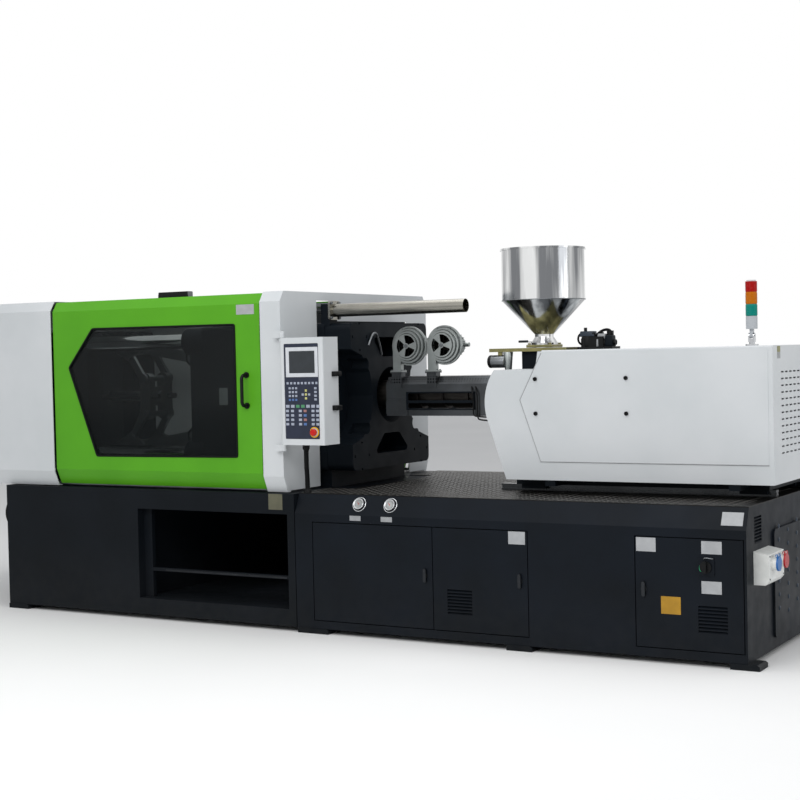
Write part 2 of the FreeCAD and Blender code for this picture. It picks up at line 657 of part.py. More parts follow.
def deck_sheet():
    """Chequer plate on top of the injection base."""
    sheet = box(CABINET_LEFT, CABINET_RIGHT, APRON_SLOPE, BASE_DEPTH, BASE_HEIGHT, DECK_TOP)
    corner = box(CABINET_LEFT - 1, FIXED_PLATEN_RIGHT + 12, PLATEN_FRONT - 20,
                 PLATEN_BACK + 20, BASE_HEIGHT - 1, DECK_TOP + 1)
    return sheet.cut(corner)


def carriage_rails():
    """Two guide rails that the injection carriage runs on."""
    half = RAIL_SPACING / 2
    rails = []
    for y in (AXIS_Y - half, AXIS_Y + half):
        edge = RAIL_WIDTH / 2
        rail = box(RAIL_LEFT, RAIL_RIGHT, y - edge, y + edge, DECK_TOP, DECK_TOP + RAIL_HEIGHT)
        for waist in (y - edge, y + edge):
            rail = rail.cut(box(RAIL_LEFT - 1, RAIL_RIGHT + 1, waist - RAIL_GROOVE, waist + RAIL_GROOVE,
                                DECK_TOP + 10, DECK_TOP + 22))
        rails.append(rail)
    return Part.makeCompound(rails)


# ---- Platens and tie bars ------------------------------------------------------
def tie_bar_places():
    return [(AXIS_Y + sy * TIE_OFFSET, AXIS_Z + sz * TIE_OFFSET) for sz in (1, -1) for sy in (-1, 1)]


def tie_bars():
    """Four round bars that join the platens."""
    bars = []
    for y, z in tie_bar_places():
        bar = rod_x(TIE_BAR_LEFT, TIE_BAR_RIGHT, y, z, TIE_BAR_RADIUS)
        bars.append(bar.makeChamfer(5, [e for e in bar.Edges if isinstance(e.Curve, Part.Circle)]))
    return Part.makeCompound(bars)


def ring_nut(x0, y, z, hole_end):
    """Round nut with slots for a hook spanner, bored up to hole_end."""
    nut = rod_x(x0, x0 + NUT_LENGTH, y, z, NUT_RADIUS).cut(rod_x(x0 - 1, hole_end, y, z, TIE_BAR_RADIUS))
    for turn in range(4):
        slot = box(x0 - 1, x0 + NUT_LENGTH + 1, -9, 9, NUT_RADIUS - 12, NUT_RADIUS + 5)
        slot.rotate(V(0, 0, 0), V(1, 0, 0), 90 * turn)
        slot.translate(V(0, y, z))
        nut = nut.cut(slot)
    return nut


def tie_bar_nuts():
    """Cap nuts in the fixed platen and ring nuts behind the rear platen."""
    nuts = []
    for y, z in tie_bar_places():
        nuts.append(ring_nut(FIXED_PLATEN_RIGHT - NUT_LENGTH, y, z, TIE_BAR_RIGHT))
        nuts.append(ring_nut(REAR_PLATEN_LEFT - NUT_LENGTH, y, z, REAR_PLATEN_LEFT + 1))
    return Part.makeCompound(nuts)


def mould_holes(x0, x1):
    """Four threaded holes that hold a mould half."""
    holes = []
    for sy in (-1, 1):
        for sz in (-1, 1):
            y = AXIS_Y + sy * MOULD_HOLE_PITCH_Y / 2
            z = AXIS_Z + sz * MOULD_HOLE_PITCH_Z / 2
            holes.append(rod_x(x0, x1, y, z, MOULD_HOLE_RADIUS))
    return holes


def waisted_outline(half_width, half_height, waist, corner_height):
    """An outline of (y, z) that draws in between its corners, drawn on both sides."""
    side = []
    steps = 6
    for step in range(steps + 1):
        a = math.pi * step / steps
        z = AXIS_Z + corner_height * math.cos(a)
        y = AXIS_Y + half_width - (half_width - waist) * math.sin(a)
        side.append((y, z))
    edge = AXIS_Y + half_width
    right = [(edge, AXIS_Z + half_height)] + side + [(edge, AXIS_Z - half_height)]
    left = [(2 * AXIS_Y - y, z) for y, z in reversed(right)]
    return right + left


def fixed_platen():
    """Cast platen: flat mould side, ribbed back, nozzle cone and the safety tube's pedestal."""
    left, right = FIXED_PLATEN_LEFT, FIXED_PLATEN_RIGHT
    slab = box(left, left + FIXED_SLAB_THICKNESS, PLATEN_FRONT, PLATEN_BACK, PLATEN_BOTTOM, PLATEN_TOP)
    slab = soften(slab, 30, V(1, 0, 0))
    back_half = PLATEN_HEIGHT / 2 - 4
    back = prism_x(waisted_outline(PLATEN_WIDTH / 2 - 4, back_half, 215, 285), left + 50, right)
    back = soften(back, 40, V(1, 0, 0), lambda e: abs(abs(e.Vertexes[0].Z - AXIS_Z) - back_half) < 1)
    block = fuse(slab, back)
    half = PLATEN_WIDTH / 2 - 250
    for side in (1, -1):
        top, low = AXIS_Z + side * (PLATEN_HEIGHT / 2 - 90), AXIS_Z + side * 235
        pocket = ((AXIS_Y - half, top), (AXIS_Y + half, top), (AXIS_Y + 90, low), (AXIS_Y - 90, low))
        pocket = prism_x(pocket, left + FIXED_SLAB_THICKNESS + 20, right + 1)
        block = block.cut(soften(pocket, 20, V(1, 0, 0)))
    for side in (1, -1):
        for sz in (1, -1):
            y = AXIS_Y + side * 300
            z = AXIS_Z + sz * 190
            block = block.cut(rod_x(left + FIXED_SLAB_THICKNESS + 60, right + 1, y, z, 42))
    cone_start = left + LOCATING_DEPTH + 35
    cone = cone_x(cone_start, right + 1, AXIS_Y, AXIS_Z, NOZZLE_HOLE_RADIUS, NOZZLE_CONE_RADIUS)
    block = cut(
        block,
        rod_x(left - 1, right, AXIS_Y, AXIS_Z, NOZZLE_HOLE_RADIUS),
        rod_x(left - 1, left + LOCATING_DEPTH, AXIS_Y, AXIS_Z, LOCATING_RADIUS),
        cone,
        *mould_holes(left - 1, left + MOULD_HOLE_DEPTH),
    )
    for y, z in tie_bar_places():
        block = block.cut(rod_x(left - 1, right + 1, y, z, TIE_BAR_RADIUS))
        block = block.cut(rod_x(right - NUT_LENGTH, right + 1, y, z, NUT_RADIUS))
    foot = box(left + 10, CLAMP_BASE_LENGTH - 10, PLATEN_FRONT + 30, PLATEN_BACK - 30,
               BASE_HEIGHT, PLATEN_BOTTOM + 1)
    y, z = SAFETY_BAR_Y, SAFETY_BAR_HEIGHT
    pedestal = box(SAFETY_TUBE_LEFT - 60, SAFETY_TUBE_LEFT, y - 42, y + 42, PLATEN_TOP - 38, z + 40)
    passage = rod_x(SAFETY_TUBE_LEFT - 61, SAFETY_TUBE_LEFT + 1, y, z, SAFETY_BAR_RADIUS + 4)
    return fuse(block, foot, pedestal).cut(passage)


def rear_platen():
    """Cast platen that carries the toggle's rear pins, with windows that the knees swing into."""
    left = REAR_PLATEN_LEFT
    right = left + REAR_PLATEN_THICKNESS
    block = box(left, right, PLATEN_FRONT, PLATEN_BACK, PLATEN_BOTTOM, PLATEN_TOP)
    block = soften(block, 40, V(1, 0, 0))
    reach = REAR_PIN_RISE - 35
    for side in (1, -1):
        inner = CROSSHEAD_ROW - 4
        outer = OUTER_END + 14
        sides = sorted((AXIS_Y + side * inner, AXIS_Y + side * outer))
        block = block.cut(box(left + 30, right + 1, *sides, AXIS_Z - reach, AXIS_Z + reach))
    block = block.cut(rod_x(left - 1, right + 1, AXIS_Y, AXIS_Z, PISTON_ROD_RADIUS + 3))
    lug_top = AXIS_Z + REAR_PIN_RISE
    lug_half = 52
    outline = (
        (right - 2, lug_top - lug_half), (REAR_PIN_X, lug_top - lug_half),
        (REAR_PIN_X, lug_top + lug_half), (right - 2, lug_top + lug_half),
    )

    def lug(y0, y1):
        return fuse(prism_y(outline, y0, y1), rod_y(y0, y1, REAR_PIN_X, lug_top, lug_half))

    lugs = both_sides(lug, FRONT_ROW, FRONT_LINK_THICKNESS)
    block = fuse(block, *lugs, *[mirror_z(shape) for shape in lugs])
    for side in (1, -1):
        z = AXIS_Z + side * REAR_PIN_RISE
        block = block.cut(rod_y(PLATEN_FRONT, PLATEN_BACK, REAR_PIN_X, z, LINK_PIN_RADIUS + SHAFT_FIT))
    for y, z in tie_bar_places():
        block = block.cut(rod_x(left - 1, right + 1, y, z, TIE_BAR_RADIUS))
    half = GUIDE_ROD_SPACING / 2
    rod_end = CROSSHEAD_X + 95
    rods = [rod_x(right - 20, rod_end, AXIS_Y + s * half, AXIS_Z, GUIDE_ROD_RADIUS) for s in (-1, 1)]
    shoe = box(left + 10, right - 10, PLATEN_FRONT + 30, PLATEN_FRONT + 190, BASE_HEIGHT, PLATEN_BOTTOM + 1)
    return fuse(block, shoe, mirror_y(shoe), *rods)


def clamp_cylinder():
    """Hydraulic cylinder on the back of the rear platen."""
    right = REAR_PLATEN_LEFT
    left = right - CLAMP_CYLINDER_LENGTH
    collar = CLAMP_CYLINDER_RADIUS + 25
    body = fuse(
        rod_x(left, right, AXIS_Y, AXIS_Z, CLAMP_CYLINDER_RADIUS),
        rod_x(left, left + CYLINDER_FLANGE, AXIS_Y, AXIS_Z, collar),
        rod_x(right - CYLINDER_FLANGE, right, AXIS_Y, AXIS_Z, collar),
    )
    ports = [rod_z(PORT_Z, AXIS_Z, x, PORT_Y, 20) for x in (PORT_X, right - PORT_INSET)]
    body = fuse(body, *ports)
    return cut(
        body,
        rod_x(left + CYLINDER_FLANGE, right - CYLINDER_FLANGE, AXIS_Y, AXIS_Z, CLAMP_BORE_RADIUS),
        rod_x(right - CYLINDER_FLANGE - 1, right + 1, AXIS_Y, AXIS_Z, PISTON_ROD_RADIUS + SHAFT_FIT),
    )


def moving_platen():
    """Cast moving platen: thick mould plate, bosses on the tie bars and lugs for the toggle."""
    left, right = MOVING_PLATEN_LEFT, MOVING_PLATEN_RIGHT
    plate = box(right - MOULD_PLATE_THICKNESS, right, PLATEN_FRONT, PLATEN_BACK, PLATEN_BOTTOM, PLATEN_TOP)
    plate = soften(plate, 30, V(1, 0, 0))
    web = box(left + 40, right - 10, PLATEN_FRONT + 60, PLATEN_BACK - 60,
              PLATEN_BOTTOM + 60, PLATEN_TOP - 60)
    bosses = [rod_x(left, right - 10, y, z, TIE_BOSS_RADIUS) for y, z in tie_bar_places()]
    pin_z = AXIS_Z + FRONT_PIN_RISE
    half = 50
    outline = (
        (left + 60, pin_z - half - 40), (FRONT_PIN_X, pin_z - half),
        (FRONT_PIN_X, pin_z + half), (left + 60, pin_z + half + 40),
    )

    def lug(y0, y1):
        return fuse(prism_y(outline, y0, y1), rod_y(y0, y1, FRONT_PIN_X, pin_z, half))

    lug_thickness = FRONT_ROW - PLATE_GAP - CROSSHEAD_ROW - 10
    inner = both_sides(lug, FRONT_ROW - PLATE_GAP - lug_thickness, lug_thickness)
    outer = both_sides(lug, OUTER_ROW, lug_thickness)
    lugs = inner + outer
    ejector_body = rod_x(FRONT_PIN_X - 50, left + 41, AXIS_Y, AXIS_Z, 52)
    shoe = box(left + 60, right - 40, PLATEN_FRONT + 10, PLATEN_FRONT + 70,
               BASE_HEIGHT + SLIDE_GAP, PLATEN_BOTTOM + 1)
    lower_lugs = [mirror_z(shape) for shape in lugs]
    block = fuse(plate, web, ejector_body, shoe, mirror_y(shoe), *bosses, *lugs, *lower_lugs)
    for side in (1, -1):
        z = AXIS_Z + side * FRONT_PIN_RISE
        block = block.cut(rod_y(PLATEN_FRONT, PLATEN_BACK, FRONT_PIN_X, z, LINK_PIN_RADIUS + SHAFT_FIT))
    for y, z in tie_bar_places():
        block = block.cut(rod_x(left - 1, right + 1, y, z, TIE_BAR_RADIUS + SHAFT_FIT))
    ejector = rod_x(FRONT_PIN_X - 30, right + 1, AXIS_Y, AXIS_Z, EJECTOR_ROD_RADIUS + SHAFT_FIT)
    return cut(block, ejector, *mould_holes(right - MOULD_HOLE_DEPTH, right + 1))


def ejector_rod():
    """Rod that pushes the mould's ejector plate."""
    rod = rod_x(FRONT_PIN_X + 80, MOVING_PLATEN_RIGHT - 8, AXIS_Y, AXIS_Z, EJECTOR_ROD_RADIUS)
    return rod.makeChamfer(3, [e for e in rod.Edges if isinstance(e.Curve, Part.Circle)])


# ---- Toggle parts, drawn for the upper side ------------------------------------
def rear_link():
    """Four plates on one long pin; the arm of each inner plate holds the crosshead link."""
    pin_z = AXIS_Z + REAR_PIN_RISE
    knee_z = AXIS_Z + KNEE[1]
    arm_z = AXIS_Z + ARM_PIN[1]

    def plate(y0, y1):
        return bar_between(REAR_PIN_X, pin_z, KNEE[0], knee_z, y0, y1, LINK_EYE_RADIUS, LINK_EYE_RADIUS)

    def armed_plate(y0, y1):
        arm = bar_between(REAR_PIN_X, pin_z, ARM_PIN[0], arm_z, y0, y1, LINK_EYE_RADIUS, SMALL_EYE_RADIUS)
        wide = LINK_EYE_RADIUS * 0.8
        brace = bar_between(KNEE[0], knee_z, ARM_PIN[0], arm_z, y0, y1, wide, SMALL_EYE_RADIUS)
        return fuse(plate(y0, y1), arm, brace)

    def pin_head(y0, y1):
        return rod_y(y0, y1, KNEE[0], knee_z, LINK_PIN_RADIUS)

    plates = both_sides(armed_plate, INNER_ROW, INNER_PLATE_THICKNESS)
    plates += both_sides(plate, OUTER_ROW, OUTER_PLATE_THICKNESS)
    plates += both_sides(pin_head, OUTER_ROW + 1, OUTER_PLATE_THICKNESS + 9)
    pin = rod_y(AXIS_Y - OUTER_END - 10, AXIS_Y + OUTER_END + 10, REAR_PIN_X, pin_z, LINK_PIN_RADIUS)
    return fuse(pin, *plates)


def front_link():
    """Two plates on one long pin in the lugs of the moving platen."""
    pin_z = AXIS_Z + FRONT_PIN_RISE
    knee_z = AXIS_Z + KNEE[1]

    def plate(y0, y1):
        return bar_between(FRONT_PIN_X, pin_z, KNEE[0], knee_z, y0, y1, LINK_EYE_RADIUS, LINK_EYE_RADIUS)

    lug_thickness = FRONT_ROW - PLATE_GAP - CROSSHEAD_ROW - 10
    reach = OUTER_ROW + lug_thickness + 10
    pin = rod_y(AXIS_Y - reach, AXIS_Y + reach, FRONT_PIN_X, pin_z, LINK_PIN_RADIUS)
    return fuse(pin, *both_sides(plate, FRONT_ROW, FRONT_LINK_THICKNESS))


def crosshead_link():
    """Short link between the crosshead and the arm of the rear link."""
    pin_z = AXIS_Z + CROSSHEAD_PIN_RISE
    arm_z = AXIS_Z + ARM_PIN[1]
    eye = SMALL_EYE_RADIUS

    def plate(y0, y1):
        return bar_between(CROSSHEAD_X, pin_z, ARM_PIN[0], arm_z, y0, y1, eye, eye)

    reach = CROSSHEAD_ROW + CROSSHEAD_LINK_THICKNESS
    pin = rod_y(AXIS_Y - reach, AXIS_Y + reach, CROSSHEAD_X, pin_z, SMALL_PIN_RADIUS)
    return fuse(pin, *both_sides(plate, CROSSHEAD_ROW, CROSSHEAD_LINK_THICKNESS))


def crosshead():
    """Crosshead on two guide rods, screwed to the clamp cylinder's piston rod."""
    half_length, width = CROSSHEAD_HALF_LENGTH, CROSSHEAD_HALF_WIDTH
    top = CROSSHEAD_PIN_RISE + 36
    left, right = CROSSHEAD_X - half_length, CROSSHEAD_X + half_length
    block = box(left, right, AXIS_Y - width, AXIS_Y + width, AXIS_Z - top, AXIS_Z + top)
    block = soften(block, 34, V(0, 1, 0))
    for side in (1, -1):
        relief = sorted((AXIS_Z + side * 62, AXIS_Z + side * (top + 1)))
        block = block.cut(box(left - 1, right + 1, AXIS_Y - 66, AXIS_Y + 66, *relief))
    rod_end = REAR_PLATEN_LEFT - CYLINDER_FLANGE - 12
    rod = rod_x(rod_end - 50, right + 12, AXIS_Y, AXIS_Z, PISTON_ROD_RADIUS)
    piston = rod_x(rod_end - 60, rod_end, AXIS_Y, AXIS_Z, CLAMP_BORE_RADIUS - SHAFT_FIT)
    block = fuse(block, rod, piston)
    for side in (1, -1):
        z = AXIS_Z + side * CROSSHEAD_PIN_RISE
        pin_fit = SMALL_PIN_RADIUS + SHAFT_FIT
        pin_hole = rod_y(AXIS_Y - width - 1, AXIS_Y + width + 1, CROSSHEAD_X, z, pin_fit)
        y = AXIS_Y + side * GUIDE_ROD_SPACING / 2
        guide_hole = rod_x(left - 1, right + 1, y, AXIS_Z, GUIDE_ROD_RADIUS + SHAFT_FIT)
        block = cut(block, pin_hole, guide_hole)
    return block


# ---- Guards --------------------------------------------------------------------
def guard_profile(inset, lift):
    """Closed (y, z) outline of the guards, drawn in by inset and lifted at the bottom."""
    front, back = inset, BASE_DEPTH - inset
    low, high = GUARD_BOTTOM + lift, GUARD_TOP - inset * 0.6
    depth = GUARD_CHAMFER_DEPTH
    return (
        (front, low + GUARD_BOTTOM_CHAMFER), (front, high - GUARD_TOP_CHAMFER), (front + depth, high),
        (back - depth, high), (back, high - GUARD_TOP_CHAMFER), (back, low + GUARD_BOTTOM_CHAMFER),
        (back - depth, low), (front + depth, low),
    )


def guard_shell(left, right, open_left):
    """Sheet hood with its floor cut away, open at one end."""
    outer = prism_x(guard_profile(0, 0), left, right)
    ends = (left - 1, right - GUARD_SKIN) if open_left else (left + GUARD_SKIN, right + 1)
    inner = prism_x(guard_profile(GUARD_SKIN, GUARD_SKIN), *ends)
    edge = GUARD_CHAMFER_DEPTH + GUARD_LIP
    floor = box(left - 1, right + 1, edge, BASE_DEPTH - edge,
                GUARD_BOTTOM - 1, GUARD_BOTTOM + 2 * GUARD_SKIN)
    return cut(outer, inner, floor)


def clamp_rear_cover():
    """White hood over the toggle and the clamp cylinder."""
    return guard_shell(-COVER_OVERHANG, COVER_RIGHT, open_left=False)


def guard_end_wall():
    """White portal round the fixed platen, with the bracket that the operator panel hangs on."""
    shell = guard_shell(END_GUARD_LEFT, END_GUARD_RIGHT, open_left=True)
    side = PLATEN_FRONT - PORTAL_GAP
    portal = box(END_GUARD_LEFT - 1, END_GUARD_RIGHT + 1, side, PLATEN_BACK + PORTAL_BACK_GAP,
                 GUARD_BOTTOM - 1, PLATEN_TOP + PORTAL_GAP)
    notch = box(END_GUARD_LEFT - 1, END_GUARD_RIGHT + 1, side, side + PORTAL_NOTCH,
                PLATEN_TOP, GUARD_TOP - PORTAL_TOP)
    bracket = []
    for z in (PANEL_BOTTOM - 40, PANEL_TOP + 2):
        arm = box(END_GUARD_RIGHT - 30, HINGE_X, HINGE_Y - 12, 2, z, z + 37.5)
        bracket.append(fuse(arm, rod_z(z, z + 37.5, HINGE_X, HINGE_Y, HINGE_EYE_RADIUS + 1)))
    pins = [
        rod_z(PANEL_BOTTOM - 20, PANEL_BOTTOM + HINGE_EYE_HEIGHT, HINGE_X, HINGE_Y, HINGE_PIN_RADIUS),
        rod_z(PANEL_TOP - HINGE_EYE_HEIGHT, PANEL_TOP + 20, HINGE_X, HINGE_Y, HINGE_PIN_RADIUS),
    ]
    return fuse(cut(shell, portal, notch), *bracket, *pins)


def rounded_window(grow, y0, y1):
    """The window's outline, grown outward by a distance and extruded from y0 to y1."""
    wire = Part.makePolygon([V(x, y0, z) for x, z in WINDOW_CORNERS + WINDOW_CORNERS[:1]])
    face = Part.Face(wire)
    solid = face.extrude(V(0, y1 - y0, 0))
    solid = soften(solid, WINDOW_RADIUS, V(0, 1, 0))
    if grow:
        bottom = min(solid.Faces, key=lambda f: f.CenterOfMass.y)
        wide = bottom.OuterWire.makeOffset2D(grow)
        solid = Part.Face(wide).extrude(V(0, y1 - y0, 0))
    return solid


def gate_profile(depth):
    """(y, z) section of a gate: a folded sheet of full depth with chamfered edges."""
    low, high = GUARD_BOTTOM + GATE_LIFT, GUARD_TOP - GATE_INSET * 0.6
    front, back = GATE_INSET, GATE_INSET + depth
    slope = GUARD_CHAMFER_DEPTH
    return (
        (front, low + GUARD_BOTTOM_CHAMFER), (front, high - GUARD_TOP_CHAMFER), (front + slope, high),
        (back + slope, high), (back, high - GUARD_TOP_CHAMFER), (back, low + GUARD_BOTTOM_CHAMFER),
        (back + slope, low), (front + slope, low),
    )


def gate_body():
    """Sliding gate: a skin with folded rims round its edge and round the window."""
    front, back = GATE_INSET, GATE_INSET + GATE_DEPTH
    body = prism_x(gate_profile(GATE_DEPTH), GATE_LEFT, GATE_RIGHT)
    low = GUARD_BOTTOM + GATE_LIFT + GUARD_BOTTOM_CHAMFER
    high = GUARD_TOP - GATE_INSET * 0.6 - GUARD_TOP_CHAMFER
    hollow = box(GATE_LEFT + GATE_RIM, GATE_RIGHT - GATE_RIM, front + GATE_SKIN, back + 1, low, high)
    hollow = hollow.cut(rounded_window(WINDOW_RIM, front, back + 2))
    body = cut(body, hollow, rounded_window(0, front - 1, back + 1))
    middle = front + GATE_SKIN + 2
    return body.cut(rounded_window(WINDOW_GROOVE, middle, middle + WINDOW_PANE))


def gate_pane():
    middle = GATE_INSET + GATE_SKIN + 2
    return rounded_window(WINDOW_GROOVE, middle, middle + WINDOW_PANE)


def gate_handle():
    """D handle bent from round bar, on two round feet."""
    bend = HANDLE_BEND
    front = GATE_INSET
    out = front - HANDLE_REACH
    low, high, x = HANDLE_BOTTOM, HANDLE_TOP, HANDLE_X
    slant = bend * (1 - math.sqrt(0.5))
    path = Part.Wire([
        Part.makeLine(V(x, front, low), V(x, out + bend, low)),
        Part.Arc(V(x, out + bend, low), V(x, out + slant, low + slant), V(x, out, low + bend)).toShape(),
        Part.makeLine(V(x, out, low + bend), V(x, out, high - bend)),
        Part.Arc(V(x, out, high - bend), V(x, out + slant, high - slant), V(x, out + bend, high)).toShape(),
        Part.makeLine(V(x, out + bend, high), V(x, front, high)),
    ])
    section = Part.Wire(Part.makeCircle(HANDLE_RADIUS, V(x, front, low), V(0, 1, 0)))
    grip = path.makePipeShell([section], True, False)
    feet = [rod_y(front - 8, front, x, z, HANDLE_RADIUS + 8) for z in (low, high)]
    return fuse(grip, *feet)


def rear_gate():
    """The gate on the far side, which has its own handle."""
    body = fuse(gate_body(), gate_pane(), gate_handle())
    return mirror_y(body)


def gate_rails():
    """Upper and lower rails of both gates, with the lock housing on the front upper rail."""
    left, right = -COVER_OVERHANG + GUARD_SKIN, END_GUARD_LEFT + 40
    start = GATE_INSET + GATE_DEPTH + GUARD_CHAMFER_DEPTH + 3
    end = start + RAIL_STRIP
    foot = GUARD_TOP - 42
    low = box(left, right, start, end, GUARD_BOTTOM + GUARD_SKIN, GUARD_BOTTOM + 22)
    high = box(left, right, start, end, foot, GUARD_TOP - 18)
    lock_left = GATE_LEFT + LOCK_LEFT
    lock_right = lock_left + LOCK_LENGTH
    ramp = (
        (lock_left, foot), (lock_left, GUARD_TOP + 12), (lock_left + LOCK_RAMP, GUARD_TOP + 26),
        (lock_right, GUARD_TOP + 26), (lock_right, foot),
    )
    lock = prism_y(ramp, end - 1, end + 45)
    rails = [low, fuse(high, lock), mirror_y(low), mirror_y(high)]
    return Part.makeCompound(rails)


# ---- Safety bar ----------------------------------------------------------------
def safety_bar_tube():
    """Steel tube that shields the safety bar, with its square flange."""
    left = SAFETY_TUBE_LEFT
    y, z = SAFETY_BAR_Y, SAFETY_BAR_HEIGHT
    flange = soften(box(left, left + SAFETY_FLANGE, y - 56, y + 56, z - 56, z + 56), 14, V(1, 0, 0))
    tube = rod_x(left + 13, SAFETY_TUBE_RIGHT, y, z, SAFETY_TUBE_RADIUS)
    inside = rod_x(left - 1, SAFETY_TUBE_RIGHT + 1, y, z, SAFETY_TUBE_RADIUS - SAFETY_TUBE_WALL)
    return fuse(flange, tube).cut(inside)


def safety_bar():
    """Notched bar that travels with the moving platen."""
    right = MOVING_PLATEN_RIGHT
    y, z = SAFETY_BAR_Y, SAFETY_BAR_HEIGHT
    foot_right = right - SAFETY_FOOT_INSET
    foot_left = foot_right - SAFETY_FOOT_THICKNESS
    foot = box(foot_left, foot_right, y - 32, y + 32, PLATEN_TOP, z + 32)
    for boss_y, boss_z in tie_bar_places():
        foot = foot.cut(rod_x(foot_left - 1, foot_right + 1, boss_y, boss_z, TIE_BOSS_RADIUS))
    bar = rod_x(right - SAFETY_BAR_OVERHANG, SAFETY_TUBE_RIGHT - SAFETY_BAR_HOLD, y, z, SAFETY_BAR_RADIUS)
    for notch in range(NOTCH_COUNT):
        x = right + 60 + NOTCH_PITCH * notch
        ring = rod_x(x, x + 25, y, z, SAFETY_BAR_RADIUS + 1)
        bar = bar.cut(ring.cut(rod_x(x, x + 25, y, z, SAFETY_BAR_RADIUS - 6)))
    return fuse(foot, bar)


# ---- Operator panel ------------------------------------------------------------
def panel_housing():
    """Housing of the operator panel with its hinge eyes and two service caps on its side."""
    body = box(PANEL_LEFT, PANEL_RIGHT, PANEL_FRONT, PANEL_FRONT + PANEL_DEPTH, PANEL_BOTTOM, PANEL_TOP)
    body = soften(body, 12, V(0, 0, 1))
    x0, x1 = PANEL_LEFT + PANEL_BORDER, PANEL_RIGHT - PANEL_BORDER
    recess = box(x0, x1, PANEL_FRONT - 1, PANEL_FRONT + 3, PANEL_BOTTOM + 34, PANEL_TOP - 34)
    screen = box(x0 + 22, x1 - 22, PANEL_FRONT, PANEL_FRONT + 8, PANEL_TOP - 190, PANEL_TOP - 50)
    body = cut(body, soften(recess, 8, V(0, 1, 0)), soften(screen, 6, V(0, 1, 0)))
    eyes = []
    for z in (PANEL_BOTTOM + 3, PANEL_TOP - HINGE_EYE_HEIGHT - 3):
        top = z + HINGE_EYE_HEIGHT
        arm = box(HINGE_X, PANEL_LEFT + 2, HINGE_Y - 6, HINGE_Y + 6, z, top)
        eye = fuse(rod_z(z, top, HINGE_X, HINGE_Y, HINGE_EYE_RADIUS), arm)
        eyes.append(eye.cut(rod_z(z - 1, top + 1, HINGE_X, HINGE_Y, HINGE_PIN_RADIUS + SHAFT_FIT)))
    cap_y = PANEL_FRONT + PANEL_CAP_DEPTH
    cap_heights = [PANEL_BOTTOM + rise for rise in PANEL_CAP_RISES]
    caps = [rod_x(PANEL_RIGHT - 1, PANEL_RIGHT + 28, cap_y, z, 13) for z in cap_heights]
    button = button_place()
    seat = rod_y(PANEL_FRONT - 6, PANEL_FRONT + 4, *button, BUTTON_RADIUS + 6)
    hole = rod_y(PANEL_FRONT - 7, PANEL_FRONT + 20, *button, BUTTON_STEM_RADIUS + SHAFT_FIT)
    return cut(fuse(body, seat, *eyes, *caps), hole)


def button_place():
    return PANEL_RIGHT - BUTTON_INSET, PANEL_BOTTOM + BUTTON_RISE


def stop_button():
    """Mushroom-head stop button."""
    x, z = button_place()
    stem = rod_y(PANEL_FRONT - 12, PANEL_FRONT + 14, x, z, BUTTON_STEM_RADIUS)
    head = rod_y(PANEL_FRONT - 26, PANEL_FRONT - 11, x, z, BUTTON_RADIUS)
    rounds = [e for e in head.Edges if isinstance(e.Curve, Part.Circle)]
    rim = [e for e in rounds if e.Curve.Center.y < PANEL_FRONT - 20]
    return fuse(stem, head.makeChamfer(5, rim))


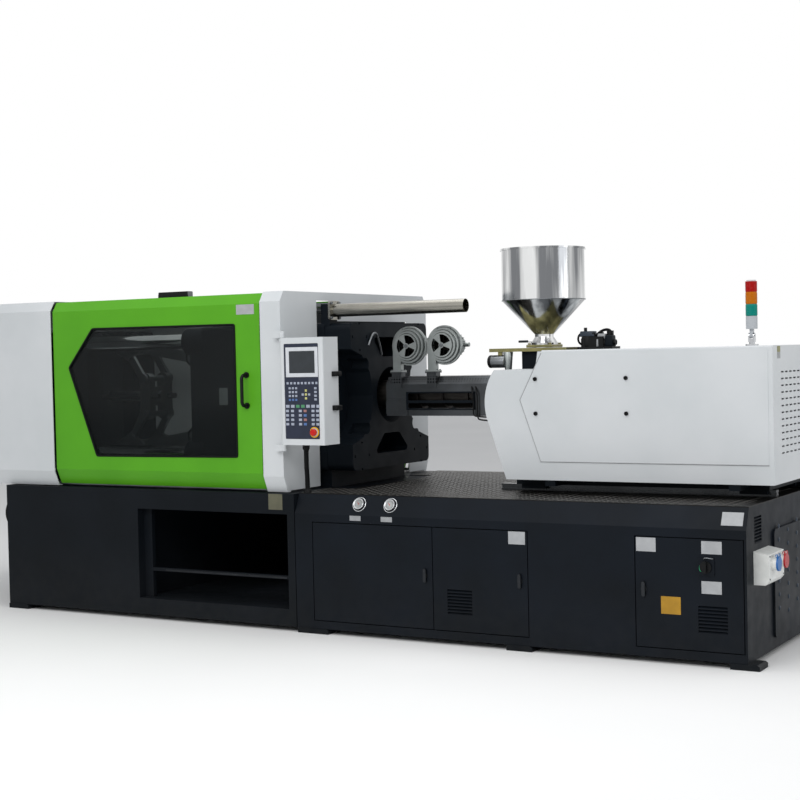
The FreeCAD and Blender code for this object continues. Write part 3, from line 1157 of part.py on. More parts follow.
# ---- Injection unit ------------------------------------------------------------
def injection_carriage():
    """Carriage on the rails: bed, blocks, feed housing and the two injection cylinders."""
    bed_bottom = DECK_TOP + RAIL_HEIGHT + 4
    half = RAIL_SPACING / 2
    bed = box(CARRIAGE_LEFT, CARRIAGE_RIGHT, AXIS_Y - half - 70, AXIS_Y + half + 70,
              bed_bottom, COVER_BOTTOM)
    well = box(CARRIAGE_LEFT + 180, CARRIAGE_RIGHT - 120, AXIS_Y - half + 60, AXIS_Y + half - 60, 0, COVER_TOP)
    pieces = [bed.cut(well)]
    for x in (CARRIAGE_LEFT + 260, CARRIAGE_RIGHT - 160):
        front, back = COVER_FRONT + 4, COVER_FRONT + COVER_WIDTH - 4
        pieces.append(box(x, x + 60, front, back, bed_bottom + 8, COVER_BOTTOM))
    for x in (CARRIAGE_LEFT + 20, CARRIAGE_RIGHT - 170):
        for y in (AXIS_Y - half, AXIS_Y + half):
            block = box(x, x + 150, y - 45, y + 45, DECK_TOP + 12, bed_bottom + 1)
            wide = RAIL_WIDTH / 2 + SLIDE_GAP
            way = box(x - 1, x + 151, y - wide, y + wide, DECK_TOP, DECK_TOP + RAIL_HEIGHT + SLIDE_GAP)
            pieces.append(block.cut(way))
    side = HOUSING_WIDTH / 2
    housing = box(THROAT_LEFT, THROAT_RIGHT, AXIS_Y - side, AXIS_Y + side,
                  COVER_BOTTOM - 1, SLIDE_PLATE_BOTTOM)
    housing = soften(housing, 20, V(0, 0, 1))
    pedestal = box(THROAT_LEFT, THROAT_RIGHT, AXIS_Y - side, AXIS_Y + side, bed_bottom, COVER_BOTTOM)
    wing = INJECTION_CYLINDER_SPACING / 2 + 80
    flange = box(THROAT_RIGHT - 90, THROAT_RIGHT, AXIS_Y - wing, AXIS_Y + wing, AXIS_Z - 90, AXIS_Z + 90)
    pieces += [housing, pedestal, soften(flange, 40, V(1, 0, 0))]
    bores = [rod_x(THROAT_LEFT - 1, THROAT_RIGHT + 1, AXIS_Y, AXIS_Z, BARREL_RADIUS)]
    bores.append(rod_z(AXIS_Z, SLIDE_PLATE_TOP, HOPPER_X, AXIS_Y, FEED_HOLE_RADIUS))
    end = INJECTION_CYLINDER_RIGHT
    for y in (AXIS_Y - INJECTION_CYLINDER_SPACING / 2, AXIS_Y + INJECTION_CYLINDER_SPACING / 2):
        pieces.append(rod_x(THROAT_RIGHT - 1, end, y, AXIS_Z, INJECTION_CYLINDER_RADIUS))
        pieces.append(rod_x(end - 50, end, y, AXIS_Z, INJECTION_CYLINDER_RADIUS + 14))
        bores.append(rod_x(THROAT_RIGHT + 30, end + 1, y, AXIS_Z, PUSH_ROD_RADIUS + SHAFT_FIT))
    return cut(fuse(*pieces), *bores)


def barrel():
    """Heated barrel with its nozzle and heater bands."""
    tube = rod_x(BARREL_FRONT, BARREL_REAR, AXIS_Y, AXIS_Z, BARREL_RADIUS)
    nozzle = cone_x(NOZZLE_TIP + 60, BARREL_FRONT + 1, AXIS_Y, AXIS_Z, NOZZLE_RADIUS, BARREL_RADIUS - 13)
    tip = rod_x(NOZZLE_TIP, NOZZLE_TIP + 61, AXIS_Y, AXIS_Z, NOZZLE_RADIUS)
    rim = [e for e in tip.Edges if isinstance(e.Curve, Part.Circle) and e.Curve.Center.x < NOZZLE_TIP + 1]
    tip = tip.makeFillet(14, rim)
    bands = []
    for band in range(HEATER_COUNT):
        x = BARREL_FRONT + 60 + band * HEATER_PITCH
        bands.append(rod_x(x, x + HEATER_WIDTH, AXIS_Y, AXIS_Z, HEATER_RADIUS))
    body = fuse(tube, nozzle, tip, *bands)
    return cut(
        body,
        rod_x(BARREL_FRONT + 30, BARREL_REAR + 1, AXIS_Y, AXIS_Z, SCREW_RADIUS + SHAFT_FIT),
        rod_x(NOZZLE_TIP - 1, BARREL_FRONT + 31, AXIS_Y, AXIS_Z, 6),
        rod_z(AXIS_Z, AXIS_Z + BARREL_RADIUS + 5, HOPPER_X, AXIS_Y, FEED_HOLE_RADIUS),
    )


def injection_ram():
    """Ram plate with two push rods and the hydraulic motor that turns the screw."""
    wing = INJECTION_CYLINDER_SPACING / 2 + 70
    plate = box(RAM_LEFT, RAM_RIGHT, AXIS_Y - wing, AXIS_Y + wing, AXIS_Z - 130, AXIS_Z + 130)
    plate = soften(plate, 50, V(1, 0, 0))
    motor = fuse(
        rod_x(RAM_RIGHT, RAM_RIGHT + MOTOR_LENGTH * 0.55, AXIS_Y, AXIS_Z, 125),
        rod_x(RAM_RIGHT, RAM_RIGHT + MOTOR_LENGTH, AXIS_Y, AXIS_Z, 85),
    )
    rods = []
    for y in (AXIS_Y - INJECTION_CYLINDER_SPACING / 2, AXIS_Y + INJECTION_CYLINDER_SPACING / 2):
        rods.append(rod_x(THROAT_RIGHT + 60, RAM_LEFT + 1, y, AXIS_Z, PUSH_ROD_RADIUS))
    bore = rod_x(RAM_LEFT - 1, RAM_RIGHT + 60, AXIS_Y, AXIS_Z, SCREW_RADIUS + SHAFT_FIT)
    return cut(fuse(plate, motor, *rods), bore)


def screw():
    """Plasticising screw with its tip and drive shank."""
    start, end = BARREL_FRONT + 45, RAM_RIGHT + 50
    root = rod_x(start + 50, end, AXIS_Y, AXIS_Z, SCREW_ROOT_RADIUS)
    flights = []
    x = start + 130
    while x < BARREL_REAR - 60:
        flights.append(rod_x(x, x + 8, AXIS_Y, AXIS_Z, SCREW_RADIUS))
        x += 2 * SCREW_RADIUS
    tip = cone_x(start, start + 60, AXIS_Y, AXIS_Z, 5, SCREW_RADIUS)
    shank = rod_x(BARREL_REAR - 40, end, AXIS_Y, AXIS_Z, SCREW_RADIUS)
    return fuse(root, tip, shank, *flights)


def guard_box_profile(grow, foot):
    half, flat = GUARD_BOX_WIDTH / 2 + grow, GUARD_BOX_FLAT / 2 + grow * 0.6
    top = GUARD_BOX_TOP + grow
    return (
        (AXIS_Y - half, foot), (AXIS_Y - half, GUARD_BOX_SHOULDER), (AXIS_Y - flat, top),
        (AXIS_Y + flat, top), (AXIS_Y + half, GUARD_BOX_SHOULDER), (AXIS_Y + half, foot),
    )


def barrel_guard():
    """Sheet guard over the hot barrel, open below, with cooling slots and two blower seats."""
    outer = prism_x(guard_box_profile(0, GUARD_BOX_BOTTOM), GUARD_BOX_LEFT, GUARD_BOX_RIGHT)
    inner = guard_box_profile(-GUARD_BOX_SKIN, GUARD_BOX_BOTTOM - 1)
    seats = []
    seat_foot, seat_top = GUARD_BOX_SHOULDER - 20, GUARD_BOX_TOP + DUCT_STUB
    for x in BLOWER_X:
        left = x - DUCT_OFFSET
        right = left + DUCT_WIDTH
        seats.append(box(left - 6, right + 6, DUCT_FRONT - 8, DUCT_BACK + 8, seat_foot, seat_top - 7))
        seats.append(box(left - 13, right + 13, DUCT_FRONT - 14, DUCT_BACK + 14, seat_top - 8, seat_top))
    shell = fuse(outer, *seats).cut(prism_x(inner, GUARD_BOX_LEFT - 1, GUARD_BOX_RIGHT + 1))
    front = AXIS_Y - GUARD_BOX_WIDTH / 2
    shutter = box(GUARD_BOX_LEFT, GUARD_BOX_LEFT + 150, front - 6, front + 1,
                  GUARD_BOX_BOTTOM, GUARD_BOX_BOTTOM + 98)
    shutter = soften(shutter, 18, V(0, 1, 0), lambda e: e.Vertexes[0].X < GUARD_BOX_LEFT + 1)
    shell = fuse(shell, shutter)
    for low, high in GUARD_SLOTS:
        slot = box(GUARD_BOX_LEFT + 152, GUARD_BOX_LEFT + 606, front - 10, AXIS_Y + GUARD_BOX_WIDTH,
                   GUARD_BOX_BOTTOM + low, GUARD_BOX_BOTTOM + high)
        shell = shell.cut(soften(slot, 6, V(0, 1, 0)))
    for x in BLOWER_X:
        left = x - DUCT_OFFSET
        shell = shell.cut(box(left + 4, left + DUCT_WIDTH - 4, DUCT_FRONT + 4, DUCT_BACK - 4,
                              GUARD_BOX_SHOULDER - 30, seat_top + 1))
    return shell


def blower(x):
    """Blower: stepped housing with three inlet windows, a duct to the barrel guard and a motor."""
    y0, z = BLOWER_FRONT, BLOWER_HEIGHT
    y1 = y0 + BLOWER_DEPTH
    discs = [rod_y(y0 + start, y0 + end, x, z, radius) for start, end, radius in BLOWER_STEPS]
    taper = Part.makeCone(106, 98, 31, V(x, y0 + 53, z), V(0, 1, 0))
    left = x - DUCT_OFFSET
    right = left + DUCT_WIDTH
    seat = GUARD_BOX_TOP + DUCT_STUB
    duct = box(left, right, DUCT_FRONT, DUCT_BACK, seat, z)
    flange = box(left - 13, right + 13, DUCT_FRONT - 14, DUCT_BACK + 14, seat, seat + 8)
    motor = rod_y(y1 - 1, y1 + BLOWER_MOTOR_LENGTH, x, z, MOTOR_RADIUS)
    cap = [e for e in motor.Edges if isinstance(e.Curve, Part.Circle) and e.Curve.Center.y > y1 + 10]
    motor = motor.makeChamfer(16, cap)
    gland = rod_x(x + MOTOR_RADIUS - 10, x + MOTOR_RADIUS + 32, y1 + 91, z, 13)
    body = fuse(*discs, taper, duct, flange, motor, gland)
    hollows = [
        rod_y(y0 + BLOWER_SKIN, y0 + 15, x, z, 68),
        rod_y(y0 + 14, y0 + 29, x, z, 84),
        rod_y(y0 + 28, y1 - 8, x, z, 92),
        box(left + 4, right - 4, DUCT_FRONT + 4, DUCT_BACK - 4, seat - 1, z - 30),
        rod_y(y1 - 9, y1 + 40, x, z, 7 + SHAFT_FIT),
    ]
    body = cut(body, *hollows)
    for window in range(INLET_COUNT):
        wedge = Part.makeCylinder(INLET_RADIUS, 24, V(0, 0, -10), V(0, 0, 1), INLET_ANGLE)
        wedge = wedge.cut(rod_z(-11, 15, 0, 0, INLET_HUB))
        wedge.rotate(V(0, 0, 0), V(0, 0, 1), 360 / INLET_COUNT * window + INLET_TURN)
        wedge.rotate(V(0, 0, 0), V(1, 0, 0), 90)
        wedge.translate(V(x, y0, z))
        body = body.cut(wedge)
    return body


def impeller(x):
    """Bladed wheel inside a blower."""
    y0, z = BLOWER_FRONT, BLOWER_HEIGHT
    disc = rod_y(y0 + 66, y0 + 70, x, z, IMPELLER_RADIUS)
    hub = rod_y(y0 + 20, y0 + 72, x, z, 15)
    shaft = rod_y(y0 + 70, y0 + BLOWER_DEPTH + 30, x, z, 7)
    blades = []
    for blade in range(IMPELLER_BLADES):
        vane = box(x + 30, x + IMPELLER_RADIUS - 2, y0 + 32, y0 + 67, z - 2, z + 2)
        vane.rotate(V(x, y0, z), V(0, 1, 0), 360 / IMPELLER_BLADES * blade)
        blades.append(vane)
    return fuse(disc, hub, shaft, *blades)


def cover_outline(grow):
    """(x, z) outline of the injection cover: curved nose, hopper notch and the shelf behind it."""
    shelf, shelf_end = COVER_TOP - COVER_SHELF_DROP + grow, SLIDE_PLATE_RIGHT + 6 - grow
    top, bottom, end = COVER_TOP + grow, COVER_BOTTOM - grow, COVER_END + grow
    return [
        V(COVER_NOSE + 125 - grow, 0, bottom), V(COVER_NOSE + 25 - grow, 0, COVER_BOTTOM + 300),
        V(COVER_NOSE - grow, 0, COVER_BOTTOM + 450), V(COVER_NOSE + 60 - grow, 0, COVER_NOTCH_TOP + grow),
        V(COVER_NOSE + 314, 0, COVER_NOTCH_TOP + grow), V(COVER_NOSE + 330 - grow, 0, shelf),
        V(shelf_end, 0, shelf), V(shelf_end, 0, top), V(end, 0, top), V(end, 0, bottom),
    ]


def cover_solid(grow, y0, y1):
    p = cover_outline(grow)
    edges = [Part.makeLine(p[0], p[1]), Part.Arc(p[1], p[2], p[3]).toShape()]
    edges += [Part.makeLine(p[i], p[i + 1]) for i in range(3, len(p) - 1)]
    edges.append(Part.makeLine(p[-1], p[0]))
    solid = Part.Face(Part.Wire(edges)).extrude(V(0, y1 - y0, 0))
    solid.translate(V(0, y0, 0))
    return solid


def injection_cover():
    """White cover over the injection unit, open below, with a raised front panel."""
    front, back = COVER_FRONT, COVER_FRONT + COVER_WIDTH
    outer = cover_solid(0, front, back)
    outer = soften(outer, 8, V(1, 0, 0), lambda e: e.Vertexes[0].Z > COVER_TOP - 1)
    inner = cover_solid(-COVER_SKIN, front + COVER_SKIN, back - COVER_SKIN)
    floor = box(COVER_NOSE + 130, COVER_END - 30, front + 30, back - 30, COVER_BOTTOM - 5, COVER_BOTTOM + 10)
    shell = cut(outer, inner, floor)
    high, low = COVER_TOP - 16, COVER_BOTTOM + 102
    outline = (
        (COVER_NOSE + 352, high), (COVER_NOSE + 219, AXIS_Z - 20), (COVER_NOSE + 339, low),
        (COVER_END - 25, low), (COVER_END - 25, high),
    )
    raised = soften(prism_y(outline, front - RAISED_PANEL, front + 1), 10, V(0, 1, 0))
    shell = fuse(shell, raised)
    way = GUARD_BOX_WIDTH / 2 + 12
    guard_way = box(COVER_NOSE - 5, THROAT_LEFT + 110, AXIS_Y - way, AXIS_Y + way,
                    COVER_BOTTOM - 1, COVER_NOTCH_TOP - 19)
    plate_half = SLIDE_PLATE_WIDTH / 2 + 6
    plate_way = box(THROAT_LEFT - 12, SLIDE_PLATE_RIGHT + 6, AXIS_Y - plate_half, AXIS_Y + plate_half,
                    COVER_NOTCH_TOP - 20, COVER_TOP + 1)
    shell = cut(shell, guard_way, plate_way)
    slots = []
    for row in range(COVER_SLOT_ROWS):
        z = COVER_BOTTOM + COVER_SLOT_START + row * COVER_SLOT_PITCH
        for column in range(COVER_SLOT_COLUMNS):
            y = AXIS_Y + (column - COVER_SLOT_COLUMNS / 2) * COVER_SLOT_SPACING
            slots.append(box(COVER_END - COVER_SKIN - 1, COVER_END + 1, y, y + COVER_SLOT_LENGTH,
                             z, z + COVER_SLOT_HEIGHT))
    return shell.cut(Part.makeCompound(slots))


def hopper_slide_plate():
    """Zinc-plated plate that the hopper slides on, with the stand post and feed hole."""
    top, low, left = SLIDE_PLATE_TOP, SLIDE_PLATE_BOTTOM, SLIDE_PLATE_LEFT
    front = SLIDE_PLATE_FRONT
    plate = box(left, SLIDE_PLATE_RIGHT, front, front + SLIDE_PLATE_WIDTH, low, top)
    plate = soften(plate, 6, V(0, 0, 1))
    post = rod_z(COVER_NOTCH_TOP, low, left + 116, front + 22, 16)
    canister = rod_x(left, left + 100, front + 22, top - 75, 36)
    rim = [e for e in canister.Edges if isinstance(e.Curve, Part.Circle) and e.Curve.Center.x < left + 1]
    canister = canister.makeChamfer(12, rim)
    hanger = box(left + 52, left + 76, front + 14, front + 30, top - 55, low + 1)
    feed_hole = rod_z(low - 1, top + 1, HOPPER_X, AXIS_Y, FEED_HOLE_RADIUS)
    return fuse(plate, post, canister, hanger).cut(feed_hole)


def hopper():
    """Spun stainless hopper with a rolled rim, a cone and a neck on a square base."""
    base = SLIDE_PLATE_TOP + SLIDE_GAP
    seat = base + HOPPER_PAD_THICKNESS
    half = HOPPER_PAD / 2
    pad = box(HOPPER_X - half, HOPPER_X + half, AXIS_Y - half, AXIS_Y + half, base, seat)
    pad = soften(pad, 8, V(0, 0, 1))
    neck, radius, wall, rim = HOPPER_NECK_RADIUS, HOPPER_RADIUS, HOPPER_WALL, HOPPER_RIM
    collar = HOPPER_COLLAR_RADIUS
    outside = [
        (FEED_HOLE_RADIUS, base + 2), (collar, base + 2), (collar, seat + 10), (neck, HOPPER_NECK - 14),
        (neck, HOPPER_NECK), (radius, HOPPER_SHOULDER), (radius, HOPPER_TOP - 10),
        (radius + rim, HOPPER_TOP - 10), (radius + rim, HOPPER_TOP), (radius - wall, HOPPER_TOP),
        (radius - wall, HOPPER_SHOULDER + 1),
        (neck - wall, HOPPER_NECK + 1), (neck - wall, seat + 36), (FEED_HOLE_RADIUS, seat + 28),
    ]
    points = [V(r, 0, z) for r, z in outside]
    bowl = Part.Face(Part.makePolygon(points + points[:1])).revolve(V(0, 0, 0), V(0, 0, 1), 360)
    bowl.translate(V(HOPPER_X, AXIS_Y, 0))
    body = fuse(pad.cut(rod_z(base - 1, seat + 1, HOPPER_X, AXIS_Y, FEED_HOLE_RADIUS)), bowl)
    low = seat + SHUTTER_RISE
    high = low + SHUTTER_THICKNESS + 1
    slot = box(HOPPER_X - collar - 20, HOPPER_X + neck - 5, AXIS_Y - 40, AXIS_Y + 40, low, high)
    return body.cut(slot)


def hopper_shutter():
    """Sliding shutter in the hopper's neck, with its pull."""
    z = SLIDE_PLATE_TOP + SLIDE_GAP + HOPPER_PAD_THICKNESS + SHUTTER_RISE + SLIDE_GAP
    end = HOPPER_X + HOPPER_NECK_RADIUS - 8
    blade = box(HOPPER_X - 108, end, AXIS_Y - 38, AXIS_Y + 38, z, z + SHUTTER_THICKNESS)
    pull = rod_x(HOPPER_X - 165, HOPPER_X - 107, AXIS_Y, z + 6, 7)
    return fuse(blade, pull)


def signal_tower():
    """Stack of lamps on a folding knuckle."""
    x, y, knuckle = TOWER_X, TOWER_Y, TOWER_KNUCKLE
    stack = rod_z(knuckle + 34, TOWER_TOP - 8, x, y, TOWER_RADIUS)
    cap = rod_z(TOWER_TOP - 8, TOWER_TOP, x, y, TOWER_RADIUS - 6)
    tongue = box(x - 8, x + 8, y - 14, y + 14, knuckle, knuckle + 35)
    body = fuse(stack, cap, tongue, rod_x(x - 8, x + 8, y, knuckle, 14))
    for lamp in range(3):
        z = knuckle + TOWER_BASE_HEIGHT + lamp * TOWER_LAMP_HEIGHT
        groove = rod_z(z - 2, z + 2, x, y, TOWER_RADIUS + 1)
        body = body.cut(groove.cut(rod_z(z - 3, z + 3, x, y, TOWER_RADIUS - 2)))
    return body.cut(rod_x(x - 9, x + 9, y, knuckle, 5 + SHAFT_FIT))


def signal_tower_foot():
    """Fixed half of the folding knuckle, with its pin."""
    foot = rod_z(COVER_TOP, COVER_TOP + 8, TOWER_X, TOWER_Y, 34)
    neck = rod_z(COVER_TOP + 7, TOWER_KNUCKLE - 18, TOWER_X, TOWER_Y, 15)
    ears = []
    for side in (-1, 1):
        x = sorted((TOWER_X + side * 8.5, TOWER_X + side * 16))
        ears.append(box(*x, TOWER_Y - 14, TOWER_Y + 14, TOWER_KNUCKLE - 30, TOWER_KNUCKLE))
        ears.append(rod_x(*x, TOWER_Y, TOWER_KNUCKLE, 14))
    bridge = box(TOWER_X - 16, TOWER_X + 16, TOWER_Y - 14, TOWER_Y + 14,
                 TOWER_KNUCKLE - 34, TOWER_KNUCKLE - 17)
    pin = rod_x(TOWER_X - 18, TOWER_X + 18, TOWER_Y, TOWER_KNUCKLE, 5)
    return fuse(foot, neck, bridge, pin, *ears)


def valve_block():
    """Lubrication distributor on top of the injection cover."""
    x, y, z = COVER_NOSE + 370, AXIS_Y, COVER_TOP
    base = box(x, x + 215, y - 60, y + 60, z, z + 14)
    body = box(x + 60, x + 150, y - 38, y + 38, z + 13, z + 72)
    left = rod_z(z + 13, z + 62, x + 25, y - 20, 17)
    right = rod_z(z + 13, z + 104, x + 176, y + 10, 20)
    caps = [rod_z(z + 71, z + 96, x + 82, y - 14, 12), rod_z(z + 71, z + 96, x + 122, y + 14, 12)]
    elbow = rod_x(x + 35, x + 70, y - 20, z + 45, 9)
    return fuse(base, body, left, right, elbow, *caps)


# ---- Doors and electrics -------------------------------------------------------
def cabinet_door(index):
    """Folded sheet door with a stiffening rim, hinge holes and a latch hole."""
    left, right = door_span(index)
    door = box(left, right, 0, DOOR_DEPTH, DOOR_BOTTOM, DOOR_TOP)
    rim = DOOR_RIM
    door = door.cut(box(left + rim, right - rim, DOOR_SKIN, DOOR_DEPTH + 1,
                        DOOR_BOTTOM + rim, DOOR_TOP - rim))
    x = latch_x(index)
    pad = rod_y(DOOR_SKIN - 0.5, DOOR_DEPTH, x, LATCH_HEIGHT, 20)
    door = fuse(door, pad)
    hinge = door_hinge_x(index)
    tools = [rod_y(-1, DOOR_DEPTH + 1, x, LATCH_HEIGHT, 8 + SHAFT_FIT)]
    for z0 in (DOOR_BOTTOM - 1, DOOR_TOP - 25):
        tools.append(rod_z(z0, z0 + 26, hinge, HINGE_INSET, 4 + SHAFT_FIT))
    door = cut(door, *tools)
    if index in (1, 3):
        x0 = left + 86 if index == 1 else right - 82 - VENT_WIDTH
        x1 = x0 + VENT_WIDTH
        low = DOOR_BOTTOM + VENT_RISE
        high = low + VENT_HEIGHT
        door = door.cut(box(x0, x1, -1, DOOR_SKIN + 1, low, high))
        pitch = (high - low) / LOUVRE_COUNT
        slats = []
        for row in range(LOUVRE_COUNT):
            z = low + row * pitch
            slats.append(prism_x(((0, z), (0, z + 4), (12, z + 14), (12, z + 10)), x0 - 1, x1 + 1))
        posts = [box(x - 5, x, 0, 14, low - 4, high + 4) for x in (x0, x1 + 5)]
        door = fuse(door, *posts, *slats)
    if index == 3:
        plate = box(SWITCH_X - 44, SWITCH_X + 44, -5, DOOR_SKIN, SWITCH_HEIGHT - 44, SWITCH_HEIGHT + 44)
        plate = soften(plate, 6, V(0, 1, 0))
        door = fuse(door, plate, rod_y(-5, DOOR_DEPTH, SWITCH_X, SWITCH_HEIGHT, 24))
        door = door.cut(rod_y(-6, DOOR_DEPTH + 1, SWITCH_X, SWITCH_HEIGHT, 6 + SHAFT_FIT))
    return door


def door_latch(index):
    """Quarter-turn latch: lever outside, shaft through the door and cam inside."""
    x, z = latch_x(index), LATCH_HEIGHT
    shaft = rod_y(-6, DOOR_SETBACK + 10, x, z, 8)
    rose = rod_y(-4.3, -0.3, x, z, 15)
    lever = soften(box(x - 9, x + 9, -14, -4, z - 38, z + 38), 8, V(0, 1, 0))
    cam = box(x - 8, x + 8, DOOR_SETBACK + 4, DOOR_SETBACK + 9, z, z + CAM_REACH)
    return fuse(shaft, rose, lever, cam)


def main_switch_knob():
    """Rotary main switch on the electrical door."""
    shaft = rod_y(-10, DOOR_DEPTH - 2, SWITCH_X, SWITCH_HEIGHT, 6)
    disc = rod_y(-14, -5.4, SWITCH_X, SWITCH_HEIGHT, 30)
    grip = box(SWITCH_X - 9, SWITCH_X + 9, -32, -13, SWITCH_HEIGHT - 28, SWITCH_HEIGHT + 28)
    return fuse(shaft, disc, soften(grip, 4, V(0, 1, 0)))


def pressure_gauges():
    """Two round gauges set in the sloped band."""
    gauges = []
    t = (GAUGE_HEIGHT - APRON_FOOT) / (BASE_HEIGHT - APRON_FOOT)
    y = APRON_SLOPE * t
    slope = V(0, APRON_FOOT - BASE_HEIGHT, APRON_SLOPE)
    slope.normalize()
    for x in GAUGE_X:
        case = Part.makeCylinder(GAUGE_RADIUS, 14, V(x, y, GAUGE_HEIGHT), slope)
        dish = Part.makeCylinder(GAUGE_RADIUS - 5, 4, V(x, y, GAUGE_HEIGHT) + slope * 10.5, slope)
        gauges.append(case.cut(dish))
    return Part.makeCompound(gauges)


def socket_box():
    """Box with two appliance sockets on the machine's right end."""
    left, middle = CABINET_RIGHT, SOCKET_HEIGHT
    outline = (
        (left, middle - 104), (left + 60, middle - 104), (left + 78, middle - 82), (left + 78, middle + 48),
        (left, middle + 63),
    )
    body = prism_y(outline, SOCKET_Y[0] - 65, SOCKET_Y[1] + 66)
    body = soften(body, 6, V(0, 1, 0), lambda e: e.Vertexes[0].X > left + 1)
    rim = middle + SOCKET_RADIUS
    for y in SOCKET_Y:
        pot = rod_x(left + 77, left + SOCKET_FACE, y, middle, SOCKET_RADIUS)
        lug = box(left + 90, left + SOCKET_FACE + 4, y - 12, y + 12, rim - 4, rim + 11)
        well = rod_x(left + 84, left + SOCKET_FACE + 1, y, middle, SOCKET_RADIUS - 5)
        body = fuse(body, pot, lug).cut(well)
        for turn in range(3):
            a = math.radians(90 + 120 * turn)
            pin_y, pin_z = y + 15 * math.cos(a), middle + 15 * math.sin(a)
            body = fuse(body, rod_x(left + 83, left + 98, pin_y, pin_z, 3))
        body = fuse(body, rod_y(y - 30, y + 30, left + SOCKET_FACE, rim + 7, 3))
    return body


def socket_lid(y):
    """Spring lid of one socket."""
    hinge_x, hinge_z = CABINET_RIGHT + SOCKET_FACE, SOCKET_HEIGHT + SOCKET_RADIUS + 7
    left = hinge_x + 0.4
    lid = rod_x(left, left + 9, y, SOCKET_HEIGHT, SOCKET_RADIUS + 3)
    arms = []
    for side in (-1, 1):
        span = sorted((y + side * 13, y + side * 26))
        arms.append(box(left, left + 7, *span, SOCKET_HEIGHT + 8, hinge_z))
        arms.append(rod_y(*span, hinge_x, hinge_z, 7))
    lid = fuse(lid, *arms)
    body = lid.cut(rod_y(y - 31, y + 31, hinge_x, hinge_z, 3 + SHAFT_FIT))
    return body.cut(box(hinge_x - 16, hinge_x + 5, y - 12.5, y + 12.5, hinge_z - 13, hinge_z + 10))


def pump_unit():
    """Electric motor and hydraulic pump on the floor of the left bay."""
    left, right = door_span(0)
    floor = DOOR_BOTTOM - DOOR_GAP + BAY_INSET
    y, z = DOOR_SETBACK + 300, floor + 190
    motor = rod_x(left + 120, left + 460, y, z, 130)
    fan = rod_x(left + 80, left + 130, y, z, 118)
    bell = rod_x(left + 455, left + 540, y, z, 80)
    pump = rod_x(left + 535, left + 670, y, z, 62)
    block = box(left + 180, left + 280, y - 70, y + 70, z + 100, z + 180)
    feet = [box(x, x + 50, y - 120, y + 120, floor, z - 90) for x in (left + 160, left + 380)]
    return fuse(motor, fan, bell, pump, block, *feet)


# ---- Hoses ---------------------------------------------------------------------
def rounded_path(points):
    """Straight runs joined by tangent arcs, each as large as its two runs allow."""
    edges = []
    start = points[0]
    for before, corner, after in zip(points, points[1:], points[2:]):
        into, out = corner - before, after - corner
        turn = into.getAngle(out)
        run = min(into.Length, out.Length) * 0.45
        radius = run / math.tan(turn / 2)
        into.normalize()
        out.normalize()
        first, last = corner - into * run, corner + out * run
        middle_way = out - into
        middle_way.normalize()
        centre_gap = radius / math.cos(turn / 2) - radius
        middle = corner + middle_way * centre_gap
        edges.append(Part.makeLine(start, first))
        edges.append(Part.Arc(first, middle, last).toShape())
        start = last
    edges.append(Part.makeLine(start, points[-1]))
    return Part.Wire(edges)


def hose(points, radius):
    path = rounded_path(points)
    section = Part.Wire(Part.makeCircle(radius, points[0], points[1] - points[0]))
    return path.makePipeShell([section], True, False)


CLAMP_HOSE_RADIUS = 19
CLAMP_HOSE_ROUTE = (
    (PORT_X, PORT_Y, PORT_Z), (PORT_X, PORT_Y, PORT_Z - 135), (PORT_X + 3, 720, BASE_HEIGHT + 80),
    (PORT_X + 23, 500, BASE_HEIGHT - 65), (PORT_X + 73, 330, BASE_HEIGHT - 188),
    (PORT_X + 155, 262, BASE_HEIGHT - 280), (-125, 236, BASE_HEIGHT - 326), (0, 236, BASE_HEIGHT - 326),
)


def clamp_hose():
    """Pressure hose from the clamp cylinder down to the left end of the base."""
    return hose([V(*point) for point in CLAMP_HOSE_ROUTE], CLAMP_HOSE_RADIUS)


PANEL_CONDUIT_RADIUS = 14
CONDUIT_X = PANEL_LEFT + 93
PANEL_CONDUIT_ROUTE = (
    (CONDUIT_X, 10, PANEL_BOTTOM), (CONDUIT_X, 10, PANEL_BOTTOM - 60),
    (CONDUIT_X - 10, 24, PANEL_BOTTOM - 118), (CONDUIT_X - 22, 46, PANEL_BOTTOM - 170),
    (CONDUIT_X - 32, 64, DECK_TOP + 62), (CONDUIT_X - 32, 64, DECK_TOP),
)


def panel_conduit():
    """Flexible conduit from the bottom of the operator panel to the deck."""
    return hose([V(*point) for point in PANEL_CONDUIT_ROUTE], PANEL_CONDUIT_RADIUS)


